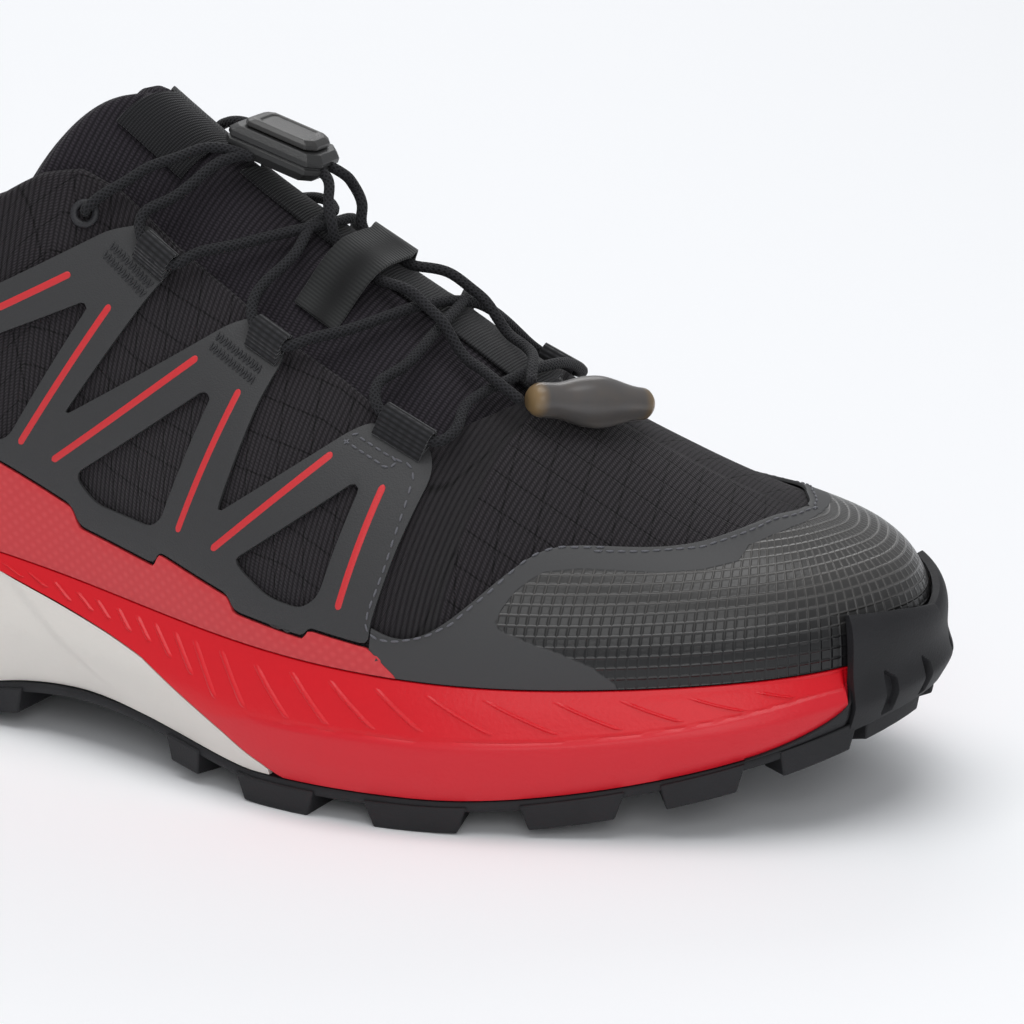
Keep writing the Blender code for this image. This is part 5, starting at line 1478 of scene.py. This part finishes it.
point, forward, across, outward = directions(*LOCK_PLACE)
forward, outward = turned(forward, outward, LOCK_TILT)
across, outward = turned(across, outward, -LOCK_ROLL)
axes = forward, across, outward
lock_plastic = film_material("lock case", "2a2a2a", 0.42, 0.00003, 0.5)
button_plastic = film_material("lock button", "2e2d2c", 0.38, 0.00003, 0.5)
base = point + outward * LOCK_LIFT
case = stacked("lock_case", base, axes, CASE_LEVELS, lock_plastic, 0.0003)
dress(case, "lock", "lace_lock_body")
base = base + outward * (LOCK_HEIGHT + GAP)
button = stacked("lock_button", base, axes, BUTTON_LEVELS, button_plastic, 0.0002)
dress(button, "film", "lace_lock_button")

# %% Pull grip
GRIP_ENDS = [(0.388, 0.795, 6.2), (0.333, 1.02, 6.2)]
# The grip's radius in millimetres at shares of its length.
GRIP_RADII = np.array([
    (0.0, 2.4), (0.03, 3.2), (0.08, 3.7), (0.16, 3.75), (0.25, 4.0), (0.38, 5.0), (0.48, 5.55),
    (0.58, 5.6), (0.70, 4.9), (0.82, 3.95), (0.92, 3.5), (0.97, 3.1), (1.0, 2.2),
])


def grip_material():
    """Smoky clear elastomer: dim, with a soft gloss; light shining through the thin ends is painted on
    as a warmer, lighter colour.
    """
    material, tree, surface = shader("smoky elastomer", "66615e", 0.30)
    surface.inputs["Transmission Weight"].default_value = 0.35
    surface.inputs["IOR"].default_value = 1.45
    # Painted light: the "ends" mark paints the thin ends a lighter amber, as light shining through them;
    # the noise on top is random cloudiness.
    ends = add(tree, "Attribute", attribute_name="ends").outputs["Fac"]
    haze_and_end_glow = math_node(tree, "MULTIPLY_ADD", grain(tree, 220.0), 0.2, ends, clamp=True)
    paint(tree, surface, haze_and_end_glow, "646160", "a8895c")
    return material


def make_grip(material):
    """A body of revolution: a rounded rear collar, a waist, a wide belly and a tapered nose."""
    rear, front = route(GRIP_ENDS)
    share = np.linspace(0, 1, 60)
    radius = spline(GRIP_RADII[:, 0], GRIP_RADII[:, 1], share) * MM
    path = rear + (front - rear) * share[:, None]
    path = np.concatenate([path[:1], path, path[-1:]])
    radius = np.concatenate([[1e-5], radius, [1e-5]])[:, None, None]
    ahead = unit(front - rear)
    aside = unit(np.cross(ahead, (0.0, 0.0, 1.0)))
    up = np.cross(aside, ahead)
    turn = np.linspace(0, 2 * math.pi, 33)[None, :, None]
    grid = path[:, None] + radius * (aside * np.cos(turn) + up * np.sin(turn))
    piece = make_surface("pull_grip", [grid], material, merge=2e-6, sharp=50)
    corners = np.array([tuple(corner.co) for corner in piece.data.vertices])
    share = (corners - rear).dot(ahead) / np.linalg.norm(front - rear)
    # The "ends" mark: where the light through the thin ends is painted.
    mark(piece, "ends", np.clip(1.15 - np.minimum(share, 1 - share) / 0.09, 0, 1) * 0.8 - 0.08)
    return piece


grip = make_grip(grip_material())
dress(grip, "smoke", "lace_puller")

# %% [markdown]
# ## Midsole
#
# Two foams make the midsole. The red rim foam is moulded: its upper half leans in and carries
# short slanted ribs, a crease runs along its middle, and a thin lip cups the upper. The white core
# shows from the arch back. Both are swept as closed sections: down the outer side, across
# underneath, up the inner side and back over the top.

# %% Heights of the sole
CUP_DEPTH, CORE_COVER, FOOTBED_INSET = 0.0052, 0.0030, 0.0052
SIDE_PROFILE = np.array([
    (0.00, 0.60), (0.08, 0.72), (0.22, 0.90), (0.36, 0.985), (0.47, 1.00), (0.66, 0.80),
    (0.86, 0.50), (1.00, 0.26),
])
SPLIT = np.array([
    (0.00, 0.93), (0.32, 0.93), (0.383, 0.81), (0.437, 0.70), (0.470, 0.62), (0.500, 0.49),
    (0.520, 0.40), (0.546, 0.28), (0.575, 0.10), (0.592, -0.02),
])
CREASE = np.array([
    (0.540, 0.40), (0.569, 0.497), (0.645, 0.545), (0.731, 0.575), (0.796, 0.585), (0.855, 0.616),
    (0.902, 0.679), (0.938, 0.742),
])
FLARE_T = np.array([(0.0, 0.62), (0.1465, 0.80), (0.21, 1.0), (0.85, 1.0), (1.0, 0.75)])
BUMPER_END = 0.122
LIP_HEIGHT = 0.0008
CREASE_STEP, CREASE_GROOVE = 0.0004, 0.00035
FOLD_DEPTH = 0.0007


def lowest_lift(x):
    """How far the tread lies over the ground: toe spring, arch and heel bevel, flats between."""
    share = share_of_length(x)
    toe = np.clip((share - 0.683) / 0.317, 0, None) ** 1.9
    arch = np.clip(1 - ((share - 0.417) / 0.150) ** 2, 0, None) ** 1.5
    heel = np.clip((0.065 - share) / 0.065, 0, None) ** 2
    return TOE_SPRING * toe + ARCH_LIFT * arch + HEEL_BEVEL * heel


def plate_bottom(x):
    """Height of the rubber plate's underside, which the lugs stand out from."""
    return lowest_lift(x) + LUG


def foam_bottom(x):
    """Height of the foam's underside, a gap over the plate."""
    return plate_bottom(x) + PLATE + GAP


def flare(t):
    """How far the foam's side stands past the upper, less under the toe bumper."""
    side = SIDE_FLARE * np.interp(t, FLARE_T[:, 0], FLARE_T[:, 1])
    under = np.clip((t - BUMPER_END) / 0.004, 0, 1)
    return TOE_FLARE + (side - TOE_FLARE) * under


def side_offset(t, q):
    """The flare times the side's profile, at share q of its height."""
    return flare(t) * spline(SIDE_PROFILE[:, 0], SIDE_PROFILE[:, 1], q)


def footbed(x):
    """Height of the midsole's upper face, inside its cup."""
    return np.maximum(edge_height(x) - GAP - CUP_DEPTH, foam_bottom(x) + CORE_COVER)


def split_share(x):
    """Share of the side's height where white foam gives way to red."""
    return np.interp(share_of_length(x), SPLIT[:, 0], SPLIT[:, 1])


def crease_dent(x, q):
    """Depth of the moulded crease: a narrow step that fades at both ends."""
    share = share_of_length(x)
    middle = np.interp(share, CREASE[:, 0], CREASE[:, 1])
    fade = np.clip((share - 0.54) / 0.06, 0, 1)
    step = 1 / (1 + np.exp(-(q - middle) / 0.012))
    ledge = CREASE_STEP * step * np.clip(1 - (q - middle) / 0.30, 0, 1)
    return fade * (ledge + CREASE_GROOVE * np.exp(-((q - middle) / 0.016) ** 2))


def side_point(t, q, side, proud=0.0):
    """A place on the foam's side at t and at share q of its height."""
    x, y, outward = foot_line(t, side)
    edge, low = edge_height(x), foam_bottom(x)
    out = side_offset(t, q) - crease_dent(x, q) + proud
    plan = np.stack([x, y], -1) + out[..., None] * outward
    return np.concatenate([plan, (low + (edge - low) * q)[..., None]], -1)


def sole_loop(t, rows_of, rungs=10, top_dish=0.0, bottom_dish=0.0):
    """Closed sections at each t: the lateral rows down, the bottom, the medial rows up, the top.

    rows_of gives outward offset and height for every row at once, from the top down.
    """
    halves = []
    for side in (-1, 1):
        x, y, outward = foot_line(t, side)
        out, height = rows_of(t, x)
        plan = np.stack([x, y], -1)[:, None] + out[..., None] * outward[:, None]
        halves.append(np.concatenate([plan, height[..., None]], -1))
    lateral, medial = halves
    u = np.linspace(0, 1, rungs + 2)[1:-1][None, :, None]
    width = np.linalg.norm(lateral[:, :1] - medial[:, :1], axis=-1, keepdims=True)
    dip = np.clip(width / 0.04, 0, 1) * np.array([0, 0, 1.0]) * np.sin(np.pi * u) ** 0.6
    under = lateral[:, -1:] + (medial[:, -1:] - lateral[:, -1:]) * u - dip * bottom_dish
    top = medial[:, :1] + (lateral[:, :1] - medial[:, :1]) * u - dip * top_dish
    return np.concatenate([lateral, under, medial[:, ::-1], top], axis=1)


DISH = 0.0020
SOLE_T = np.unique(np.concatenate([np.linspace(0, 1, 240), np.linspace(0.10, 0.14, 30)]))


def rim_rows(t, x):
    """Rows of the red foam: footbed, cup wall, rounded lip, the side down to the split."""
    edge, low = edge_height(x)[:, None], foam_bottom(x)[:, None]
    split = np.clip(split_share(x), 0, 1)[:, None]
    seat = footbed(x)[:, None]
    inner_out = [-FOOTBED_INSET, -0.0044, -0.0034, 0.00035, 0.00035, 0.0006, 0.0010, 0.0013]
    inner_height = [seat, seat + 0.0016, edge - GAP, edge - GAP, edge + 0.6 * LIP_HEIGHT,
                    edge + 0.95 * LIP_HEIGHT, edge + LIP_HEIGHT, edge + 0.8 * LIP_HEIGHT]
    q = split + (1 - split) * np.linspace(1, 0, 46)[None]
    side = side_offset(t[:, None], q) - crease_dent(x[:, None], q)
    ends = np.minimum(split * (edge - low) + low, seat - CORE_COVER)
    ends = np.maximum(low, ends)
    out = np.concatenate([np.broadcast_to(inner_out, (len(t), 8)), side,
                          np.broadcast_to([-0.002, -FOOTBED_INSET], (len(t), 2))], axis=1)
    height = np.concatenate([*inner_height, low + (edge - low) * q, ends, ends], axis=1)
    return out, height


def core_rows(t, x):
    """Rows of the white foam, from the split down the side to its bottom, with a soft fold."""
    edge, low = edge_height(x)[:, None], foam_bottom(x)[:, None]
    split = np.clip(split_share(x) - GAP / (edge - low)[:, 0], 0.0, 1)[:, None]
    seat = footbed(x)[:, None]
    ends = np.minimum(split * (edge - low) + low, seat - CORE_COVER - GAP)
    q = split * np.linspace(1, 0, 34)[None]
    side = side_offset(t[:, None], q)
    share = share_of_length(x)[:, None]
    fold = np.interp(share, (0.30, 0.3426, 0.4221, 0.46), (1.15, 0.855, 0.27, 0.0))
    step = 1 / (1 + np.exp((q - fold) / 0.012))
    fade = np.clip((share - 0.32) / 0.03, 0, 1) * np.clip((0.46 - share) / 0.05, 0, 1)
    side = side - FOLD_DEPTH * step * fade
    out = np.concatenate([np.broadcast_to([-FOOTBED_INSET, -0.002], (len(t), 2)), side,
                          np.full((len(t), 1), -FOOTBED_INSET)], axis=1)
    height = np.concatenate([ends, ends, low + (edge - low) * q, low], axis=1)
    return out, height


def sweep_sections(name, loop, material, shade_zone=None, sharp=35):
    """A closed body through closed sections, with a face over an end that doesn't close."""
    rows, columns = loop.shape[:2]
    ends = [end for end in (0, -1) if np.ptp(loop[end][:, 1]) > 0.001]
    faces = sleeve_faces(rows, columns, ends)
    piece = make_mesh(name, loop, faces, material, loop[..., [0, 2]], sharp=sharp)
    if shade_zone is not None:
        mark(piece, "shade_zone", shade_zone)
    return weld(piece)


def foam_material(name, colour, roughness, shade=None, specular=0.4):
    """Moulded foam skin: slight orange peel, softly shiny, and, where asked, painted shade: a duller red
    painted below the crease.
    """
    material, tree, surface = shader(name, colour, roughness, specular=specular)
    bump(tree, surface, grain(tree, 1100.0, 3.0), 0.00006)
    if shade:
        shade_zone = add(tree, "Attribute", attribute_name="shade_zone").outputs["Fac"]
        paint(tree, surface, shade_zone, shade, colour)
    return material


# %% Red rim foam
# Painted shade: below the crease the rim foam is painted the duller red d31e2b, by a mark made from the
# height on its side.
red_foam = foam_material("red rim foam", "d8101f", 0.36, shade="d31e2b")
loop = sole_loop(SOLE_T, rim_rows, top_dish=DISH)
x_rows = foot_line(SOLE_T, -1)[0]
edge, low = edge_height(x_rows)[:, None], foam_bottom(x_rows)[:, None]
crease_at = np.interp(share_of_length(x_rows), CREASE[:, 0], CREASE[:, 1])[:, None]
shade_zone = np.clip(((loop[..., 2] - low) / (edge - low) - crease_at) / 0.03 + 0.5, 0, 1)
rim = sweep_sections("midsole_rim_foam", loop, red_foam, shade_zone)
dress(rim, "red_foam", "midsole")

# %% White core
core_t = SOLE_T[split_share(foot_line(SOLE_T, -1)[0]) > 0.045]
white_foam = foam_material("white core foam", "dedad4", 0.62, specular=0.25)
core = sweep_sections("midsole_core_foam", sole_loop(core_t, core_rows), white_foam)
dress(core, "white_foam", "midsole_core")

# %% Ribs
# Each rib: share of the length and of the side's height at its upper and at its lower end.
RIBS = [
    (0.334, 0.97, 0.353, 0.906), (0.3558, 0.965, 0.3748, 0.89), (0.3794, 0.96, 0.3978, 0.843),
    (0.4011, 0.945, 0.4188, 0.83), (0.4195, 0.945, 0.4353, 0.818), (0.4393, 0.945, 0.4558, 0.786),
    (0.4577, 0.945, 0.4749, 0.767), (0.4742, 0.945, 0.4960, 0.711), (0.4934, 0.94, 0.5171, 0.648),
    (0.5118, 0.937, 0.5401, 0.540), (0.5355, 0.937, 0.5638, 0.553), (0.5658, 0.918, 0.5975, 0.560),
    (0.5942, 0.94, 0.6266, 0.580), (0.6233, 0.945, 0.6591, 0.610), (0.6571, 0.95, 0.6913, 0.640),
    (0.6925, 0.95, 0.7382, 0.645), (0.7312, 0.95, 0.7799, 0.648), (0.7772, 0.95, 0.8206, 0.660),
    (0.8200, 0.95, 0.8589, 0.686), (0.8636, 0.94, 0.8969, 0.717), (0.9050, 0.93, 0.9250, 0.780),
]


RIB_WIDTH, RIB_HEIGHT, RIB_SINK = 0.0019, 0.00055, 0.00006


def rib_grid(rib, side, steps=18, columns=8):
    """A slanted rib: a steep front flank and a long rear one, tapering at both ends."""
    share_a, q_a, share_b, q_b = rib
    u = np.linspace(0, 1, steps + 1)[:, None]
    across = np.linspace(-1, 1, columns + 1)[None]
    x = from_heel(share_a + (share_b - share_a) * u) + across * RIB_WIDTH / 2
    t = t_at(x, side)
    q = q_a + (q_b - q_a) * u + 0 * across
    crown = np.where(across < 0.2, (across + 1) / 1.2, (1 - across) / 0.8)
    taper = np.clip(np.minimum(u, 1 - u) / 0.14, 0, 1) ** 0.6
    return side_point(t, q, side, proud=RIB_HEIGHT * crown ** 0.8 * taper - RIB_SINK)


rib_foam = foam_material("red rib foam", "d8101f", 0.34)
grids = [rib_grid(rib, side) for side in (-1, 1) for rib in RIBS]
ribs = face_away(make_surface("foam_ribs", grids, rib_foam), INSIDE)
dress(ribs, "red_foam")

# %% Insole
# The insole's rim, from its upper face round to its foot: offset from the sole's edge and height.
INSOLE_RIM = np.array([
    (-0.0078, 0.0042), (-0.0070, 0.0044), (-0.0060, 0.0043), (-0.0052, 0.0040), (-0.0048, 0.0030),
    (-0.0056, 0.0000),
])


def insole_rows(t, x):
    """Rows of the insole's rim over the footbed."""
    out, height = INSOLE_RIM.T
    return np.broadcast_to(out, (len(t), len(out))), (footbed(x) + GAP)[:, None] + height


insole_loop = sole_loop(SOLE_T, insole_rows, top_dish=DISH, bottom_dish=DISH)
insole = sweep_sections("insole_board", insole_loop, lining_material("insole cover"))
dress(insole, "padding", "insole")

# %% [markdown]
# ## Outsole
#
# Black rubber: a thin plate, chevron lugs down the middle, block lugs along the edge with cut
# front faces, a bumper that wraps the toe with two slots a side, and a thin web behind it.

# %% Plate and bumper
def plate_rows(t, x):
    """Rows of the plate from its top edge round a soft corner to the underside."""
    side = side_offset(t, np.zeros_like(t))[:, None] + GAP
    top, bottom = (foam_bottom(x) - GAP)[:, None], plate_bottom(x)[:, None]
    out = side + np.array([-0.010, -0.0003, 0.0, 0.0002, 0.0, -0.0004, -0.010])
    middle = (top + bottom) / 2
    height = [top, top, top - 0.0003, middle, bottom + 0.0004, bottom, bottom]
    return out, np.concatenate(height, axis=1)


def rubber_material():
    """Black carbon rubber: matte, with the fine pitting of a spark-cut mould."""
    material, tree, surface = shader("black outsole rubber", "1e1e20", 0.62, specular=0.35)
    paint(tree, surface, grain(tree, 120.0), "19191b", "252528")
    bump(tree, surface, grain(tree, 2200.0, 4.0), 0.00010)
    return material


rubber = rubber_material()
BUMPER_HEIGHT, BUMPER_TIP_SHARE = 0.0110, 0.66
BUMPER_SLOTS, SLOT_HALF, SLOT_DEPTH = (0.040, 0.088), 0.0062, 0.0019


def slot_dent(t, rise):
    """How far the bumper's face is cut in: two slots a side, from its foot to about mid-height."""
    dent = 0 * t
    for middle in BUMPER_SLOTS:
        beside = np.clip((SLOT_HALF - np.abs(t - middle)) / 0.0011, 0, 1)
        top = 0.46 + 9.0 * (t - middle)
        over_foot = np.clip((rise - 0.03) / 0.03, 0, 1) * np.clip((top - rise) / 0.03, 0, 1)
        dent = np.maximum(dent, beside * over_foot)
    return SLOT_DEPTH * dent


def bumper_grid(steps=44):
    """The bumper's outer and inner faces as one closed section at each place round the toe."""
    rear = [BUMPER_END - 0.0012, BUMPER_END - 0.0004]
    t = np.unique(np.concatenate([np.linspace(0, BUMPER_END, 130), rear]))
    sections = []
    for side in (-1, 1):
        x, y, outward = foot_line(t, side)
        edge, low = edge_height(x), foam_bottom(x)
        start = side_offset(t, np.zeros_like(t)) + GAP
        plan = np.stack([x, y], -1)

        def place(out, height):
            return np.concatenate([plan + out[:, None] * outward, height[:, None]], -1)

        foot = plate_bottom(x) + GAP
        inner = [place(start - 0.0015, low - GAP - 0.0011), place(start, low - GAP)]
        outer = [place(start - 0.0015, foot), place(start + BUMPER - 0.0012, foot)]
        for q in (0.22, 0.47, 0.75):
            lift = side_offset(t, q + 0 * t)
            inner.append(place(lift + GAP, low + (edge - low) * q))
            outer.append(place(lift + GAP + BUMPER, low + (edge - low) * q))
        inner.append(place(0.0013 + 2 * GAP + 0 * t, edge + LIP_HEIGHT + GAP))
        outer.append(place(0.0013 + BUMPER + 0 * t, edge + LIP_HEIGHT + GAP))
        for share, thickness in ((0.55, 0.90), (0.86, 0.80), (1.00, 0.55)):
            height = BUMPER_HEIGHT * (BUMPER_TIP_SHARE + (1 - BUMPER_TIP_SHARE) * t / BUMPER_END)
            v = sole_v(t, share * height, side)
            inner.append(last(t, v, side, FILM_GAP + FILM + 2 * GAP))
            outer.append(last(t, v, side, FILM_GAP + FILM + 2 * GAP + thickness * BUMPER))
        outer = np.stack(outer, 1)
        rise = np.linspace(0, 1, steps)
        knots = np.moveaxis(outer[:, 1:], 1, 0)
        face = spline(np.linspace(0, 1, len(knots)), knots.reshape(len(knots), -1), rise)
        face = np.moveaxis(face.reshape(steps, len(t), 3), 0, 1)
        dent = slot_dent(t[:, None] + 0 * rise, rise + 0 * t[:, None])
        face[..., :2] -= dent[..., None] * outward[:, None]
        outer = np.concatenate([outer[:, :1], face], axis=1)
        sections.append(np.concatenate([np.stack(inner, 1), outer[:, ::-1]], axis=1))
    lateral, medial = sections
    return np.concatenate([lateral[::-1], medial[1:]])


def make_bumper(material):
    """The bumper's closed sections as a body with rounded edges."""
    sections = bumper_grid()
    faces = sleeve_faces(*sections.shape[:2])
    piece = make_mesh("toe_bumper", sections, faces, material, sharp=30)
    return round_edges(piece, 0.0005, 40, segments=3)


# %% Rubber web behind the bumper
WEB_REACH, WEB_RISE = 0.075, 0.72


def web_grid(side, rows=30, columns=14):
    """Rubber that climbs the foam towards the bumper: its upper edge is a quarter of an ellipse."""
    share = np.linspace(0, 1, rows)[:, None]
    t = BUMPER_END - 0.002 + WEB_REACH * share
    top = 0.02 + WEB_RISE * (1 - np.sqrt(1 - (1 - share) ** 2))
    q = top * np.linspace(-0.02, 1, columns)[None]
    return side_point(t + 0 * q, q, side, proud=0.00015)


web = make_surface("toe_web", [web_grid(side) for side in (-1, 1)], rubber)
dress(thicken(face_away(web, INSIDE), 0.0006, rounding=0.0002), "rubber")

# %% Lugs
EDGE_LUGS = [
    (0.070, 0.045), (0.150, 0.055), (0.240, 0.055), (0.330, 0.050), (0.507, 0.030),
    (0.585, 0.062), (0.687, 0.070), (0.790, 0.068), (0.872, 0.052), (0.938, 0.040), (0.975, 0.022),
]
MIDDLE_LUGS = [
    (0.127, 0.120, 0.130, 0.00), (0.215, 0.110, 0.080, 0.06), (0.290, 0.100, 0.080, 0.06),
    (0.535, 0.160, 0.085, 0.08), (0.615, 0.190, 0.085, 0.09), (0.695, 0.200, 0.085, 0.09),
    (0.775, 0.190, 0.085, 0.09), (0.850, 0.150, 0.085, 0.08), (0.920, 0.100, 0.080, 0.06),
]
LUG_SINK = 0.0012
LUG_CUT = np.array([0.10, 0.05, 0.0, -0.05, -0.10])  # shares of a lug's length


def edge_lug(side, middle, length):
    """An edge lug in plan, top and foot: tapered, its front and rear faces cut back at the edge."""
    ends = np.array([float(t_at(from_heel(middle + length * k), side)) for k in (0.5, -0.5)])
    out = float(side_offset(ends.mean(), np.array(0.0)))
    t = np.linspace(*ends, 5)
    x, y, outward = foot_line(t, side)
    line = np.stack([x, y], -1)
    top = [line + (out + 0.0012) * outward, (line + (out - 0.0135) * outward)[::-1]]
    cut = unit(np.gradient(line, axis=0)) * (LUG_CUT * length * LENGTH)[:, None]
    outer = line + (out + 0.0004) * outward + cut
    inner = line + (out - 0.0125) * outward + cut * 0.35
    return np.concatenate(top), np.concatenate([outer, inner[::-1]])


def lug_body(top, foot):
    """Points and faces of a block between its outline at the plate and its outline at the tread."""
    high = plate_bottom(top[:, 0]) + LUG_SINK
    low = lowest_lift(foot[:, 0])
    points = np.concatenate([np.column_stack([top, high]), np.column_stack([foot, low])])
    count = len(top)
    faces = [tuple(range(count)), tuple(range(2 * count - 1, count - 1, -1))]
    faces += [(k, (k + 1) % count, (k + 1) % count + count, k + count) for k in range(count)]
    return points, faces


def middle_lug(share, half, length, point):
    """A chevron across the tread: a bar with its middle drawn forward by the point."""
    x = from_heel(share)
    sides = [foot_line(float(t_at(x, side)), side)[1] for side in (-1, 1)]
    y = (sides[0] + sides[1]) / 2 if share > 0.2 else 0.0
    half, length, point = half * BALL_WIDTH, length * BALL_WIDTH, point * BALL_WIDTH
    top = np.array([
        (x + length / 2, y - half), (x + length / 2 + point, y), (x + length / 2, y + half),
        (x - length / 2, y + half), (x - length / 2 + point, y), (x - length / 2, y - half),
    ])
    middle = top.mean(axis=0)
    return lug_body(top, middle + (top - middle) * np.array([0.86, 0.93]))


bodies = [lug_body(*edge_lug(side, *lug)) for side in (-1, 1) for lug in EDGE_LUGS]
bodies += [middle_lug(*lug) for lug in MIDDLE_LUGS]
lugs = round_edges(make_mesh("tread_lugs", *joined(bodies), rubber, sharp=25), 0.0004, 30)
plate = sweep_sections("outsole_plate", sole_loop(SOLE_T, plate_rows), rubber)
dress(plate, "rubber", "outsole")
dress(lugs, "rubber")
dress(make_bumper(rubber), "rubber")
